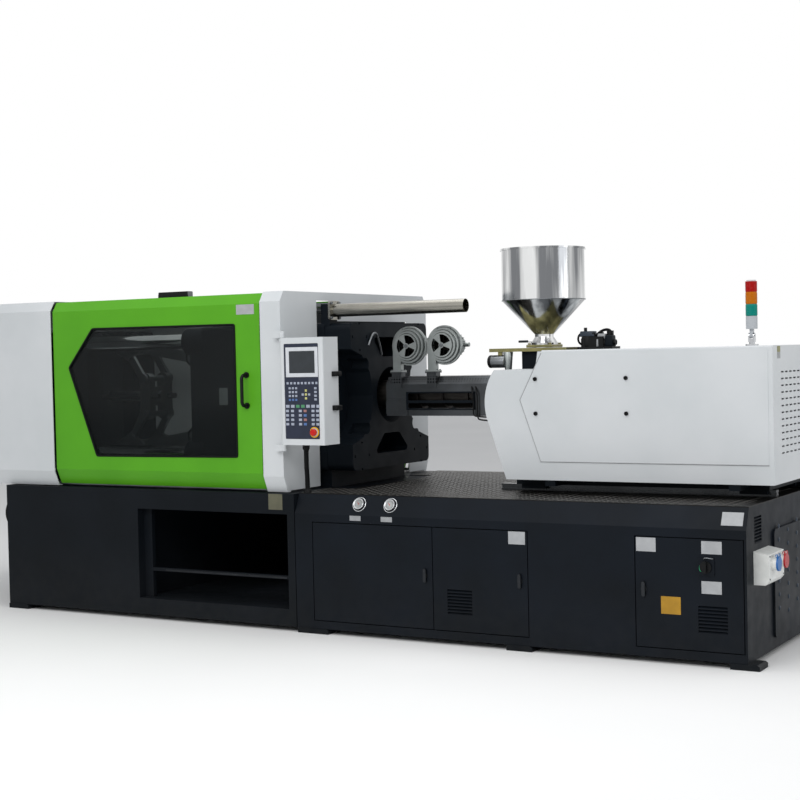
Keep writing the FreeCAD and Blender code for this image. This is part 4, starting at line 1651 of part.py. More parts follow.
# ---- All parts -----------------------------------------------------------------
PARTS = {
    "clamp_base_frame": clamp_base_frame,
    "base_feet": base_feet,
    "injection_base_cabinet": injection_base_cabinet,
    "deck_sheet": deck_sheet,
    "carriage_rails": carriage_rails,
    "fixed_platen": fixed_platen,
    "rear_platen": rear_platen,
    "tie_bars": tie_bars,
    "tie_bar_nuts": tie_bar_nuts,
    "clamp_cylinder": clamp_cylinder,
    "clamp_rear_cover": clamp_rear_cover,
    "guard_end_wall": guard_end_wall,
    "gate_rails": gate_rails,
    "safety_bar_tube": safety_bar_tube,
    "pressure_gauges": pressure_gauges,
    "socket_box": socket_box,
    "pump_unit": pump_unit,
    "front_gate": gate_body,
    "front_gate_window": gate_pane,
    "front_gate_handle": gate_handle,
    "rear_gate": rear_gate,
    "moving_platen": moving_platen,
    "safety_bar": safety_bar,
    "ejector_rod": ejector_rod,
    "crosshead": crosshead,
    "rear_link_upper": rear_link,
    "rear_link_lower": lambda: mirror_z(rear_link()),
    "front_link_upper": front_link,
    "front_link_lower": lambda: mirror_z(front_link()),
    "crosshead_link_upper": crosshead_link,
    "crosshead_link_lower": lambda: mirror_z(crosshead_link()),
    "panel_housing": panel_housing,
    "stop_button": stop_button,
    "panel_conduit": panel_conduit,
    "cabinet_door_left": lambda: cabinet_door(0),
    "cabinet_door_middle": lambda: cabinet_door(1),
    "cabinet_door_right": lambda: cabinet_door(3),
    "door_latch_left": lambda: door_latch(0),
    "door_latch_middle": lambda: door_latch(1),
    "door_latch_right": lambda: door_latch(3),
    "main_switch_knob": main_switch_knob,
    "socket_lid_blue": lambda: socket_lid(SOCKET_Y[0]),
    "socket_lid_red": lambda: socket_lid(SOCKET_Y[1]),
    "injection_carriage": injection_carriage,
    "barrel": barrel,
    "barrel_guard": barrel_guard,
    "injection_cover": injection_cover,
    "injection_ram": injection_ram,
    "screw": screw,
    "blower_1": lambda: blower(BLOWER_X[0]),
    "blower_2": lambda: blower(BLOWER_X[1]),
    "impeller_1": lambda: impeller(BLOWER_X[0]),
    "impeller_2": lambda: impeller(BLOWER_X[1]),
    "hopper_slide_plate": hopper_slide_plate,
    "hopper": hopper,
    "hopper_shutter": hopper_shutter,
    "signal_tower_foot": signal_tower_foot,
    "signal_tower": signal_tower,
    "valve_block": valve_block,
    "clamp_hose": clamp_hose,
}

os.makedirs("parts", exist_ok=True)
for name, make in PARTS.items():
    shape = make()
    shape.translate(V(-MIDDLE_X, -MIDDLE_Y, 0))
    shape.exportStep("parts/" + name + ".step")
print("clamp stroke", CLAMP_STROKE, "crosshead stroke", CROSSHEAD_STROKE)
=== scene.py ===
import json
import math

import bpy
from mathutils import Matrix, Vector

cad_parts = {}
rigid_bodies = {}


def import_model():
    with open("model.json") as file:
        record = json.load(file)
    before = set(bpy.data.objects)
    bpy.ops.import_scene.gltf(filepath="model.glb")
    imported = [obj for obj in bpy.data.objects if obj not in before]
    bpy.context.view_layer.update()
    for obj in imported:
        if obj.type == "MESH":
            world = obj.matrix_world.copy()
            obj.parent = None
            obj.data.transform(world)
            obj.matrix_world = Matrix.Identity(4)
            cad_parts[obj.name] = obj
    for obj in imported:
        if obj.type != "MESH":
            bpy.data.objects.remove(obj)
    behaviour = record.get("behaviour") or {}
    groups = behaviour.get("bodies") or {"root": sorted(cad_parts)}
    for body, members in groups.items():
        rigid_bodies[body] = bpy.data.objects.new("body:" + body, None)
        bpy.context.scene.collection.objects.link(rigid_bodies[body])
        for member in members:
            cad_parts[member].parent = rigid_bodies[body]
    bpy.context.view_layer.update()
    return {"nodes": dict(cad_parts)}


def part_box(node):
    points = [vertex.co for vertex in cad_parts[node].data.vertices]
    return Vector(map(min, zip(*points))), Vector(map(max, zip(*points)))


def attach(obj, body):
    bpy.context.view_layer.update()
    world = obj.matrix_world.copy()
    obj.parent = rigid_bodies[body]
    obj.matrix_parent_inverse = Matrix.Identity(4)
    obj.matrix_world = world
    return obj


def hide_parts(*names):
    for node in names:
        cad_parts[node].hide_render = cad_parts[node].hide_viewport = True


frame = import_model()

# ---- Camera ----
# A short telephoto stands at eye height before the injection end and looks across to
# the clamp.  Places are those of the machine's drawings, in millimetres from the clamp
# base's front left corner: x to the injection end, y to the back, z up from the floor.
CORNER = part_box("clamp_base_frame")[0]
LOOK_LEFT = math.radians(30.196)
LOOK_DOWN = math.radians(1.7477)
TILT = math.radians(-1.2794)


def mm(length):
    return length / 1000


def at(x, y, z):
    """A point of the drawings, in the frame's metres."""
    return Vector((CORNER[0] + mm(x), CORNER[1] + mm(y), mm(z)))


camera = bpy.data.objects.new("camera", bpy.data.cameras.new("camera"))
bpy.context.scene.collection.objects.link(camera)
camera.data.sensor_width = 36
camera.data.lens = 69.42
camera.data.clip_end = 100
camera.matrix_world = (
    Matrix.Translation(at(7257, -7360, 1600))
    @ Matrix.Rotation(LOOK_LEFT, 4, "Z")
    @ Matrix.Rotation(math.radians(90) - LOOK_DOWN, 4, "X")
    @ Matrix.Rotation(TILT, 4, "Z")
)
bpy.context.scene.camera = camera


# ---- Hose and conduit ----
# A rubber pressure hose runs from the clamp cylinder to the base's left end, and a
# rubber conduit from the operator panel to the deck.  Each is cut from a coil and
# held in a fitting at both ends.
CLAMP_HOSE_ROUTE = (
    (-395, 822.5, 1195), (-395, 822.5, 1060), (-392, 720, 880), (-372, 500, 735),
    (-322, 330, 612), (-240, 262, 520), (-125, 236, 474), (0, 236, 474),
)
CONDUIT_ROUTE = (
    (2338, 10, 1090), (2338, 10, 1030), (2328, 24, 972), (2316, 46, 920),
    (2306, 64, 866), (2306, 64, 804),
)


def linear(code):
    """An sRGB hex colour as linear RGBA."""
    channels = [int(code[i:i + 2], 16) / 255 for i in (1, 3, 5)]
    return [c / 12.92 if c <= 0.04045 else ((c + 0.055) / 1.055) ** 2.4 for c in channels] + [1]


def add(tree, kind, inputs=None, **settings):
    """A shader node with its settings, its values and its links."""
    made = tree.nodes.new("ShaderNode" + kind)
    for name, value in settings.items():
        setattr(made, name, value)
    for key, value in (inputs or {}).items():
        if isinstance(value, bpy.types.NodeSocket):
            tree.links.new(value, made.inputs[key])
        else:
            made.inputs[key].default_value = value
    return made


def new_finish(name):
    """An empty material with its tree, its Principled shader and object coordinates."""
    finish = bpy.data.materials.new(name)
    finish.use_nodes = True
    tree = finish.node_tree
    shader = next(n for n in tree.nodes if n.type == "BSDF_PRINCIPLED")
    place = add(tree, "TexCoord").outputs["Object"]
    return finish, tree, shader, place


def per_metre(size):
    """Noise scale for features of a size in millimetres."""
    return 1000 / size


def mottled(tree, place, size, code_a, code_b, low=0.35, high=0.65):
    """A colour that drifts between two shades over patches of a size in millimetres."""
    cloud = add(tree, "TexNoise", {"Vector": place, "Scale": per_metre(size), "Detail": 4})
    spread = add(tree, "MapRange", {"Value": cloud.outputs["Fac"], "From Min": low, "From Max": high})
    mix = add(tree, "Mix", {0: spread.outputs["Result"]}, data_type="RGBA")
    mix.inputs[6].default_value = linear(code_a)
    mix.inputs[7].default_value = linear(code_b)
    return mix.outputs[2]


def grain(tree, place, size, low, high):
    """A value between low and high that changes over a size in millimetres."""
    noise = add(tree, "TexNoise", {"Vector": place, "Scale": per_metre(size), "Detail": 3})
    spread = add(tree, "MapRange", {"Value": noise.outputs["Fac"], "From Min": 0.3, "From Max": 0.7,
                                    "To Min": low, "To Max": high})
    return spread.outputs["Result"]


def relief(tree, shader, height, depth):
    """A bump of a depth in millimetres."""
    bump = add(tree, "Bump", {"Height": height, "Strength": 1, "Distance": mm(depth)})
    tree.links.new(bump.outputs["Normal"], shader.inputs["Normal"])


def moulded(name, code, shade, rough, gloss=0.35, texture=1.2):
    """Moulded plastic or rubber: even in colour, with a fine spark-eroded texture."""
    finish, tree, shader, place = new_finish(name)
    tree.links.new(mottled(tree, place, 45, code, shade), shader.inputs["Base Color"])
    tree.links.new(grain(tree, place, 14, rough - 0.05, rough + 0.05), shader.inputs["Roughness"])
    shader.inputs["Specular IOR Level"].default_value = gloss
    relief(tree, shader, grain(tree, place, texture, 0, 1), 0.02)
    return finish


def coat(finish, *nodes):
    """Give pieces of the frame the finish that they leave the factory with."""
    for node in nodes:
        mesh = frame["nodes"][node].data
        mesh.materials.clear()
        mesh.materials.append(finish)


def dress(piece, name, body, finish):
    """Name a finished piece, give it its finish and fix it to its body."""
    piece.name = name
    piece.data.materials.clear()
    piece.data.materials.append(finish)
    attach(piece, body)
    return piece


def pipe(points, radius, closed=False, straight=False, along=8, around=4):
    """A round bar or hose through points of the drawings, with smooth or sharp bends."""
    curve = bpy.data.curves.new("pipe", "CURVE")
    curve.dimensions = "3D"
    spline = curve.splines.new("POLY" if closed or straight else "NURBS")
    spline.points.add(len(points) - 1)
    for knot, place in zip(spline.points, points):
        knot.co = (*at(*place), 1)
    spline.use_cyclic_u = closed
    if spline.type == "NURBS":
        spline.order_u = 3
        spline.use_endpoint_u = True
        spline.resolution_u = along
    curve.bevel_depth = mm(radius)
    curve.bevel_resolution = around
    curve.use_fill_caps = True
    piece = bpy.data.objects.new("pipe", curve)
    bpy.context.scene.collection.objects.link(piece)
    return piece


# Vulcanised rubber: black, dull and slightly bloomed.
black_rubber = moulded("black_rubber", "#101112", "#0b0c0d", 0.62, 0.1, 2.5)
coat(black_rubber, "clamp_hose", "panel_conduit")
clamp_hose = pipe(CLAMP_HOSE_ROUTE, 19, along=12, around=5)
dress(clamp_hose, "clamp_hose_rubber", "machine_base", black_rubber)
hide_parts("clamp_hose")
conduit = pipe(CONDUIT_ROUTE, 14, along=12, around=5)
dress(conduit, "panel_conduit_tube", "machine_base", black_rubber)
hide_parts("panel_conduit")


# ---- Clamp base ----
# The clamp stands on a frame welded from steel plate and sprayed charcoal, with
# levelling feet under it.  A dull steel strip is welded along the bar across its bay.
PEEL_SIZE = 7
PEEL_DEPTH = 0.035
DUST_HEIGHT = 0.45


def sprayed_enamel(name, code, shade, rough, gloss=0.5, dust=0.0):
    """Two-pack enamel: a faint orange peel breaks up reflections, shop dust greys its foot."""
    finish, tree, shader, place = new_finish(name)
    colour = mottled(tree, place, 420, code, shade)
    if dust:
        height = add(tree, "SeparateXYZ", {"Vector": place}).outputs["Z"]
        low = add(tree, "MapRange", {"Value": height, "From Min": 0.0, "From Max": DUST_HEIGHT,
                                     "To Min": dust, "To Max": 0})
        patches = grain(tree, place, 60, 0.3, 1.0)
        patch = add(tree, "Math", {0: low.outputs["Result"], 1: patches}, operation="MULTIPLY")
        mix = add(tree, "Mix", {0: patch.outputs["Value"], 6: colour}, data_type="RGBA")
        mix.inputs[7].default_value = linear("#6e6a62")
        colour = mix.outputs[2]
    tree.links.new(colour, shader.inputs["Base Color"])
    tree.links.new(grain(tree, place, 90, rough - 0.05, rough + 0.06), shader.inputs["Roughness"])
    shader.inputs["Specular IOR Level"].default_value = gloss
    relief(tree, shader, grain(tree, place, PEEL_SIZE, 0, 1), PEEL_DEPTH)
    return finish


def worked_steel(name, code, shade, rough, stretch):
    """Bare metal with fine tool marks, stretch times as long along x, y and z, under an oil film."""
    finish, tree, shader, place = new_finish(name)
    marks = add(tree, "Mapping", {"Vector": place, "Scale": stretch}).outputs["Vector"]
    tree.links.new(mottled(tree, place, 160, code, shade), shader.inputs["Base Color"])
    tree.links.new(grain(tree, marks, 2, rough - 0.08, rough + 0.1), shader.inputs["Roughness"])
    shader.inputs["Metallic"].default_value = 1
    relief(tree, shader, grain(tree, marks, 2, 0, 1), 0.012)
    return finish


def clear_selection():
    if bpy.context.object and bpy.context.object.mode != "OBJECT":
        bpy.ops.object.mode_set(mode="OBJECT")
    bpy.ops.object.select_all(action="DESELECT")


def settle():
    """Put the new object's place and turn into its mesh, and return it."""
    bpy.ops.object.transform_apply(location=True, rotation=True, scale=True)
    return bpy.context.active_object


def block(low, high):
    """A solid between two corners of the drawings."""
    clear_selection()
    start, end = at(*low), at(*high)
    bpy.ops.mesh.primitive_cube_add(size=1, location=(start + end) / 2, scale=end - start)
    return settle()


def ease(piece, radius, segments=2):
    """Round the sharp edges."""
    bpy.context.view_layer.objects.active = piece
    bevel = piece.modifiers.new("eased", "BEVEL")
    bevel.width = mm(radius)
    bevel.segments = segments
    bevel.limit_method = "ANGLE"
    bpy.ops.object.modifier_apply(modifier="eased")
    return piece


# Charcoal enamel: nearly black, a little blue, with a weak satin shine.
charcoal_enamel = sprayed_enamel("charcoal_enamel", "#13171c", "#0f1317", 0.44, 0.08, dust=0.04)
# Cold-rolled sheet left bare: dark and dull, with a weak shine.
gate_steel = worked_steel("gate_steel", "#35373a", "#2a2c2f", 0.38, (1, 1, 1))
coat(charcoal_enamel, "clamp_base_frame", "base_feet")
strip = block((1251, 58.8, 294), (2150, 60.3, 306))
dress(ease(strip, 0.6, 1), "bay_strip", "machine_base", gate_steel)


# ---- Cabinet of the injection unit ----
# A cabinet folded and welded from sheet, sprayed a slightly bluer charcoal, with three
# doors shut by turning latches.  Domes pressed from sheet are welded in three columns
# over the air holes of its end panel, coloured a lighter slate grey as a painted
# highlight on them.
END_PANEL = 4931


def mark_faces(piece, wanted):
    """Enter edit mode with the faces selected whose normal and centre are wanted."""
    clear_selection()
    bpy.context.view_layer.objects.active = piece
    piece.select_set(True)
    bpy.ops.object.mode_set(mode="EDIT")
    bpy.ops.mesh.select_mode(type="FACE")
    bpy.ops.mesh.select_all(action="DESELECT")
    bpy.ops.object.mode_set(mode="OBJECT")
    for face in piece.data.polygons:
        face.select = wanted(face.normal, face.center)
    bpy.ops.object.mode_set(mode="EDIT")


def copied(piece, move):
    """A copy of a piece with its own mesh, moved or turned by a matrix."""
    copy = piece.copy()
    copy.data = piece.data.copy()
    copy.data.transform(move)
    bpy.context.scene.collection.objects.link(copy)
    return copy


def repeated(piece, steps):
    """Copies of a piece, each moved by a step in millimetres."""
    return [copied(piece, Matrix.Translation(Vector(step) / 1000)) for step in steps]


def joined(pieces):
    clear_selection()
    for piece in pieces:
        piece.select_set(True)
    bpy.context.view_layer.objects.active = pieces[0]
    if len(pieces) > 1:
        bpy.ops.object.join()
    return bpy.context.active_object


def smooth(piece, angle=40):
    clear_selection()
    piece.select_set(True)
    bpy.context.view_layer.objects.active = piece
    bpy.ops.object.shade_smooth_by_angle(angle=math.radians(angle))
    return piece


# Charcoal enamel a shade bluer than the base's, and a plain slate grey, which on the vent domes is a
# painted highlight.
door_enamel = sprayed_enamel("door_enamel", "#141920", "#11151a", 0.42, 0.08, dust=0.03)
motor_enamel = sprayed_enamel("motor_enamel", "#2f3843", "#2b333d", 0.45, 0.2)
coat(door_enamel, "injection_base_cabinet", "cabinet_door_left", "cabinet_door_middle",
     "cabinet_door_right")
coat(gate_steel, "door_latch_left", "door_latch_middle", "door_latch_right")
clear_selection()
bpy.ops.mesh.primitive_uv_sphere_add(segments=20, ring_count=12, radius=mm(13),
                                     location=at(END_PANEL, 505, 660), scale=(0.5, 1, 1))
dome = settle()
mark_faces(dome, lambda normal, centre: centre.x < at(END_PANEL, 0, 0).x)
bpy.ops.mesh.delete(type="FACE")
clear_selection()
dome_steps = [(0, 165 * column, -71 * row - (35 if column == 1 else 0))
              for column in range(3) for row in range(7)]
domes = joined([dome] + repeated(dome, dome_steps[1:]))
# The domes take the slate grey, lighter than the door's charcoal: a painted highlight.
dress(smooth(domes, 80), "vent_domes", "machine_base", motor_enamel)


# ---- Pressure gauges ----
# Two dial gauges in chromed cases are clamped in the sloped band above the doors: a
# white face, black marks round it and a red needle on a small hub.
SLOPE = Vector((0, -110, 50)).normalized()
UP_SLOPE = Vector((0, 50, 110)).normalized()


def turned(place, direction, radius, depth, sides=32):
    """A round solid that starts at a place of the drawings and runs along a direction."""
    clear_selection()
    way = Vector(direction).normalized()
    bpy.ops.mesh.primitive_cylinder_add(
        vertices=sides, radius=mm(radius), depth=mm(depth),
        location=at(*place) + way * mm(depth) / 2,
        rotation=way.to_track_quat("Z", "Y").to_euler(),
    )
    return settle()


def hoop(place, direction, radius, thickness):
    """A round wire ring about a place of the drawings, facing along a direction."""
    clear_selection()
    bpy.ops.mesh.primitive_torus_add(
        major_radius=mm(radius), minor_radius=mm(thickness), major_segments=48,
        minor_segments=10, location=at(*place),
        rotation=Vector(direction).to_track_quat("Z", "Y").to_euler(),
    )
    return smooth(settle(), 60)


def mark_end(piece, direction):
    """Enter edit mode with the faces selected that look along a direction."""
    way = Vector(direction).normalized()
    mark_faces(piece, lambda normal, centre: normal.dot(way) > 0.95)


def inset_end(piece, direction, *steps):
    """Inset the end that looks along a direction: a border and a rise for each step."""
    mark_end(piece, direction)
    for border, rise in steps:
        bpy.ops.mesh.inset(thickness=mm(border), depth=mm(rise))
    clear_selection()
    return piece


def dish(piece, direction, border, depth):
    """Sink the end of a round solid inside a border."""
    return inset_end(piece, direction, (border, 0), (0.3, -depth))


# Hard chrome on steel: close to a mirror, with faint marks along the bar.
chromed_bar = worked_steel("chromed_bar", "#c4c6c8", "#b9bbbe", 0.14, (0.02, 1, 1))
# Printed dial sheet behind glass, matt nylon, and glossy red plastic.
dial_white = moulded("dial_white", "#a9acab", "#8d9090", 0.30)
black_nylon = moulded("black_nylon", "#111213", "#0c0d0e", 0.45, 0.15)
red_knob = moulded("red_knob", "#c2140c", "#b0120b", 0.25)
coat(chromed_bar, "pressure_gauges")
for number, x in ((1, 2679), (2, 2882)):
    seat = Vector((x, 50 * 60 / 110, 750))
    hub = seat + SLOPE * 10.4
    face = dish(turned(hub, SLOPE, 26.8, 1.2, 48), SLOPE, 1.2, 0.4)
    dress(face, "gauge_%d_face" % number, "machine_base", dial_white)
    marks = []
    for mark in range(13):
        angle = math.radians(225 - 22.5 * mark)
        way = Vector((1, 0, 0)) * math.cos(angle) + UP_SLOPE * math.sin(angle)
        marks.append(ease(turned(hub + way * 19 + SLOPE * 0.9, way, 0.8, 4.5, 6), 0.2, 1))
    dress(joined(marks), "gauge_%d_marks" % number, "machine_base", black_nylon)
    way = (UP_SLOPE - Vector((1, 0, 0))).normalized()
    needle = turned(hub + SLOPE * 1.6 - way * 5, way, 0.9, 22, 8)
    boss = turned(hub + SLOPE * 0.9, SLOPE, 3, 1.6, 20)
    pointer = ease(joined([needle, boss]), 0.2, 1)
    dress(pointer, "gauge_%d_needle" % number, "machine_base", red_knob)
    flange = hoop(seat + SLOPE * 1.5, SLOPE, 40.5, 3)
    rim = hoop(hub + SLOPE * 1.2, SLOPE, 28, 2.6)
    dress(joined([flange, rim]), "gauge_%d_rings" % number, "machine_base", chromed_bar)


# ---- Bare plates ----
# Sheet plates, most pressed with a raised rim, are glued to the doors, the base and its
# band, the front gate and the moving platen.  Nothing is printed on them.
FRONT = (0, -1, 0)
# Coated label stock, evenly dull: white, grey, straw and warning yellow.  The straw is coloured dark olive,
# as painted shade of the gate above its plate.
label_white = moulded("label_white", "#a9abad", "#9fa1a3", 0.45)
label_grey = moulded("label_grey", "#9a9c9e", "#8e9092", 0.45)
label_straw_shaded = moulded("label_straw_shaded", "#5d5c4a", "#535242", 0.45)
label_yellow = moulded("label_yellow", "#b08420", "#a37a1c", 0.45)
PLATES = (
    ("plate_centre", 4345, 4450, 566, 637, 0, "door_right_body", label_white),
    ("plate_right_high", 4690, 4795, 567, 631, 0, "door_right_body", label_white),
    ("plate_right_low", 4688, 4792, 368, 431, 0, "door_right_body", label_white),
    ("plate_middle", 3622, 3720, 570, 638, 0, "door_middle_body", label_white),
    ("plate_yellow", 4474, 4578, 254, 343, 0, "door_right_body", label_yellow),
    ("plate_under_gauge_1", 2628, 2700, 660, 688, 0, "machine_base", label_grey),
    ("plate_under_gauge_2", 2832, 2905, 660, 688, 0, "machine_base", label_grey),
    # Its straw stock is coloured darker, as painted shade under the gate.
    ("plate_under_gate", 2072, 2170, 705, 797, 0, "machine_base", label_straw_shaded),
    ("plate_on_gate", 1866, 1994, 1846, 1904, 12, "front_gate_body", label_white),
    ("plate_on_platen", 1438, 1504, 1300, 1406, 397.5, "moving_platen_body", label_white),
)
for name, left, right, foot, top, behind, body, finish in PLATES:
    sheet = block((left, behind - 1.2, foot), (right, behind + 0.2, top))
    inset_end(sheet, FRONT, (4, 0), (0.4, -0.4))
    dress(ease(sheet, 0.4, 1), name, body, finish)
clear_selection()
band_middle = Vector((4844, -1.2, 690)) + UP_SLOPE * 59 - SLOPE * 0.7
bpy.ops.mesh.primitive_cube_add(size=1, location=at(*band_middle), rotation=(-math.atan2(50, 110), 0, 0),
                                scale=(mm(110), mm(1.4), mm(70)))
dress(ease(settle(), 0.5, 1), "plate_on_band", "machine_base", label_white)


# ---- Main switch ----
# A moulded rotary switch on the right door: a nylon knob, a lens for its lamp and a
# bent steel bow for a padlock.  The lamp and the bow ride on the base here, so they
# stay behind when the door opens.
# Green plastic, smooth and glossy.
green_lamp = moulded("green_lamp", "#0f9a63", "#0d8b59", 0.25)
# Milled or turned steel, lightly oiled: mid grey, with marks along the cut.
machined_steel = worked_steel("machined_steel", "#7c7f82", "#6b6e71", 0.36, (1, 0.2, 1))
coat(black_nylon, "main_switch_knob")
lamp = inset_end(turned((4690, -5, 498), FRONT, 10, 5, 24), FRONT, (3, 1))
mark_faces(lamp, lambda normal, centre: True)
bpy.ops.transform.resize(value=(1, 1, 1.9))
clear_selection()
dress(smooth(lamp, 60), "switch_lamp", "machine_base", green_lamp)
bow = pipe([(4706, -5, 538), (4704, -12, 546), (4716, -13, 549), (4747, -13, 546), (4750, -5, 544)], 3.2)
dress(bow, "switch_lock_bow", "machine_base", machined_steel)


# ---- Socket box ----
# A moulded box with two appliance sockets, one lid blue and one red, is screwed to
# the cabinet's end.  Its screws have socket heads, turned and broached.
RIGHT = (1, 0, 0)


def screws(name, places, direction, radius, body, finish):
    """A head at each place: one is made and its copies follow."""
    head = turned(places[0], direction, radius, radius, 20)
    dish(head, direction, radius * 0.45, radius * 0.55)
    ease(head, radius * 0.1, 1)
    first = Vector(places[0])
    heads = joined([head] + repeated(head, [Vector(place) - first for place in places[1:]]))
    return dress(smooth(heads), name, body, finish)


# Moulded plastic with a silky shine: a white box, a blue lid and a red lid.
white_box = moulded("white_box", "#dedfdc", "#d3d5d2", 0.40)
blue_lid = moulded("blue_lid", "#1763a8", "#155a9a", 0.32)
red_lid = moulded("red_lid", "#b01d24", "#a21a20", 0.32)
coat(white_box, "socket_box")
coat(blue_lid, "socket_lid_blue")
coat(red_lid, "socket_lid_red")
screws("socket_box_screws", [(4998, y, z) for y in (122, 354) for z in (438, 552)],
       RIGHT, 4, "machine_base", machined_steel)


# ---- Motor and pump ----
# An electric motor with a bolted pump stands in the cabinet, cast and sprayed grey.
# It shows only when the left doors are open.
coat(motor_enamel, "pump_unit")


# ---- Deck and rails ----
# The deck is rolled tread plate: lens-shaped lugs stand a millimetre and a half off
# it, every other one turned across.  The carriage's two rails are bolted down on it.
LUG_PITCH = 52
LUG_LENGTH = 34
LUG_COUNTS = (("along", 50, (mm(LUG_PITCH), 0, 0)), ("across", 31, (0, mm(LUG_PITCH), 0)))
AXIS_Y = 862.5
RAIL_SPREAD = 260
RAIL_CLEARANCE = 45
UP = (0, 0, 1)


def taper(piece, direction, value):
    """Draw in the end that looks along a direction."""
    mark_end(piece, direction)
    bpy.ops.transform.resize(value=value)
    clear_selection()
    return piece


# Hot-rolled plate, nearly black with mill scale; its lugs are walked to grey.
dark_plate = worked_steel("dark_plate", "#262524", "#1e1d1c", 0.46, (0.2, 1, 1))
tread_steel = worked_steel("tread_steel", "#5a5957", "#4b4a48", 0.42, (1, 1, 1))
# Ground and oiled guide steel, with long marks down its length.
ground_rail = worked_steel("ground_rail", "#484a4c", "#3f4143", 0.28, (0.03, 1, 1))
coat(dark_plate, "deck_sheet")
coat(ground_rail, "carriage_rails")
lugs = []
for offset, turn in ((0, 45), (LUG_PITCH / 2, -45)):
    clear_selection()
    bpy.ops.mesh.primitive_cylinder_add(
        vertices=8, radius=mm(LUG_LENGTH / 2), depth=mm(1.6), scale=(1, 0.3, 1),
        location=at(2282 + offset, 76 + offset, 804.8), rotation=(0, 0, math.radians(turn)),
    )
    lug = taper(settle(), UP, (0.8, 0.8, 1))
    for name, count, step in LUG_COUNTS:
        bpy.context.view_layer.objects.active = lug
        row = lug.modifiers.new(name, "ARRAY")
        row.count = count
        row.use_relative_offset = False
        row.use_constant_offset = True
        row.constant_offset_displace = step
        bpy.ops.object.modifier_apply(modifier=name)
    lugs.append(lug)
tread = joined(lugs)
platen_low, platen_high = at(2200, 360, 0), at(2446, 1365, 0)
rail_start = at(3290, 0, 0).x
rails_y = [at(0, AXIS_Y + side * RAIL_SPREAD, 0).y for side in (-1, 1)]


def off_deck(normal, centre):
    """Where the fixed platen or a rail stands on the deck."""
    under_platen = platen_low.x < centre.x < platen_high.x and platen_low.y < centre.y < platen_high.y
    on_rail = centre.x > rail_start and min(abs(centre.y - y) for y in rails_y) < mm(RAIL_CLEARANCE)
    return under_platen or on_rail


mark_faces(tread, off_deck)
bpy.ops.mesh.select_linked()
bpy.ops.mesh.delete(type="FACE")
clear_selection()
dress(tread, "deck_tread", "machine_base", tread_steel)


# ---- Platens and tie bars ----
# Three platens of cast iron are sprayed blue-black.  Chromed tie bars run through
# them and are held by nuts, and a bent steel tube carries cooling water past the
# fixed platen's upper slot.
WATER_LOOP = (
    (2411, 606, 1652), (2418, 618, 1690), (2424, 640, 1722), (2426, 668, 1726),
    (2424, 692, 1700), (2418, 728, 1645), (2411, 758, 1592),
)
# Blue-black enamel over a rough casting, duller than that on sheet.
casting_enamel = sprayed_enamel("casting_enamel", "#10161c", "#0c1116", 0.50, 0.08)
coat(casting_enamel, "fixed_platen", "rear_platen", "moving_platen", "tie_bar_nuts")
coat(chromed_bar, "tie_bars")
dress(pipe(WATER_LOOP, 6.5), "platen_water_loop", "machine_base", machined_steel)


# ---- Toggle clamp ----
# Six forged links, milled at their eyes, turn on pins between the platens and the
# crosshead, which the clamp cylinder drives.  The ejector rod and the safety bar are
# milled and turned too.
coat(machined_steel, "rear_link_upper", "rear_link_lower", "front_link_upper", "front_link_lower",
     "crosshead_link_upper", "crosshead_link_lower", "crosshead", "ejector_rod", "safety_bar")
coat(casting_enamel, "clamp_cylinder")


# ---- Guards ----
# The hood over the clamp's rear and the end wall at the fixed platen are folded from
# sheet and sprayed light grey.
# Light grey enamel, clean and even, so that the folds show by shade alone.
white_enamel = sprayed_enamel("white_enamel", "#cdd0d2", "#c6cacc", 0.42, 0.3)
coat(white_enamel, "clamp_rear_cover", "guard_end_wall")


# ---- Gates ----
# The sliding gates are folded from sheet and sprayed green, with the dark primer left
# bare inside, between the folds.  A rubber bead holds the front gate's smoked pane and
# runs round each window, inside and outside.
GATE_MIDDLE = at(0, AXIS_Y, 0).y
PRIMED_REACH = 849
PRIMED_BAND = (930, 1904)
WINDOW_CORNERS = ((558, 1552), (756, 1792), (1850, 1788), (1850, 1008), (768, 1000))
BEAD_DEPTHS = (("outer", 11), ("inner", 41))


def gate_enamel(finish):
    """Primer shows on the pane's field and within the folds, behind the face."""
    tree = finish.node_tree
    shader = next(n for n in tree.nodes if n.type == "BSDF_PRINCIPLED")
    outside = shader.inputs["Base Color"].links[0].from_socket
    place = add(tree, "SeparateXYZ", {"Vector": add(tree, "TexCoord").outputs["Object"]})
    across = add(tree, "Math", {0: place.outputs["Y"], 1: GATE_MIDDLE}, operation="SUBTRACT")
    reach = add(tree, "Math", {0: across.outputs["Value"]}, operation="ABSOLUTE")
    behind = add(tree, "Math", {0: reach.outputs["Value"], 1: mm(PRIMED_REACH)}, operation="LESS_THAN")
    over = add(tree, "Math", {0: place.outputs["Z"], 1: mm(PRIMED_BAND[0])}, operation="GREATER_THAN")
    under = add(tree, "Math", {0: place.outputs["Z"], 1: mm(PRIMED_BAND[1])}, operation="LESS_THAN")
    band = add(tree, "Math", {0: over.outputs["Value"], 1: under.outputs["Value"]}, operation="MULTIPLY")
    inside = add(tree, "Math", {0: band.outputs["Value"], 1: behind.outputs["Value"]}, operation="MULTIPLY")
    mix = add(tree, "Mix", {0: inside.outputs["Value"], 6: outside}, data_type="RGBA")
    mix.inputs[7].default_value = linear("#1b1f21")
    tree.links.new(mix.outputs[2], shader.inputs["Base Color"])
    return finish


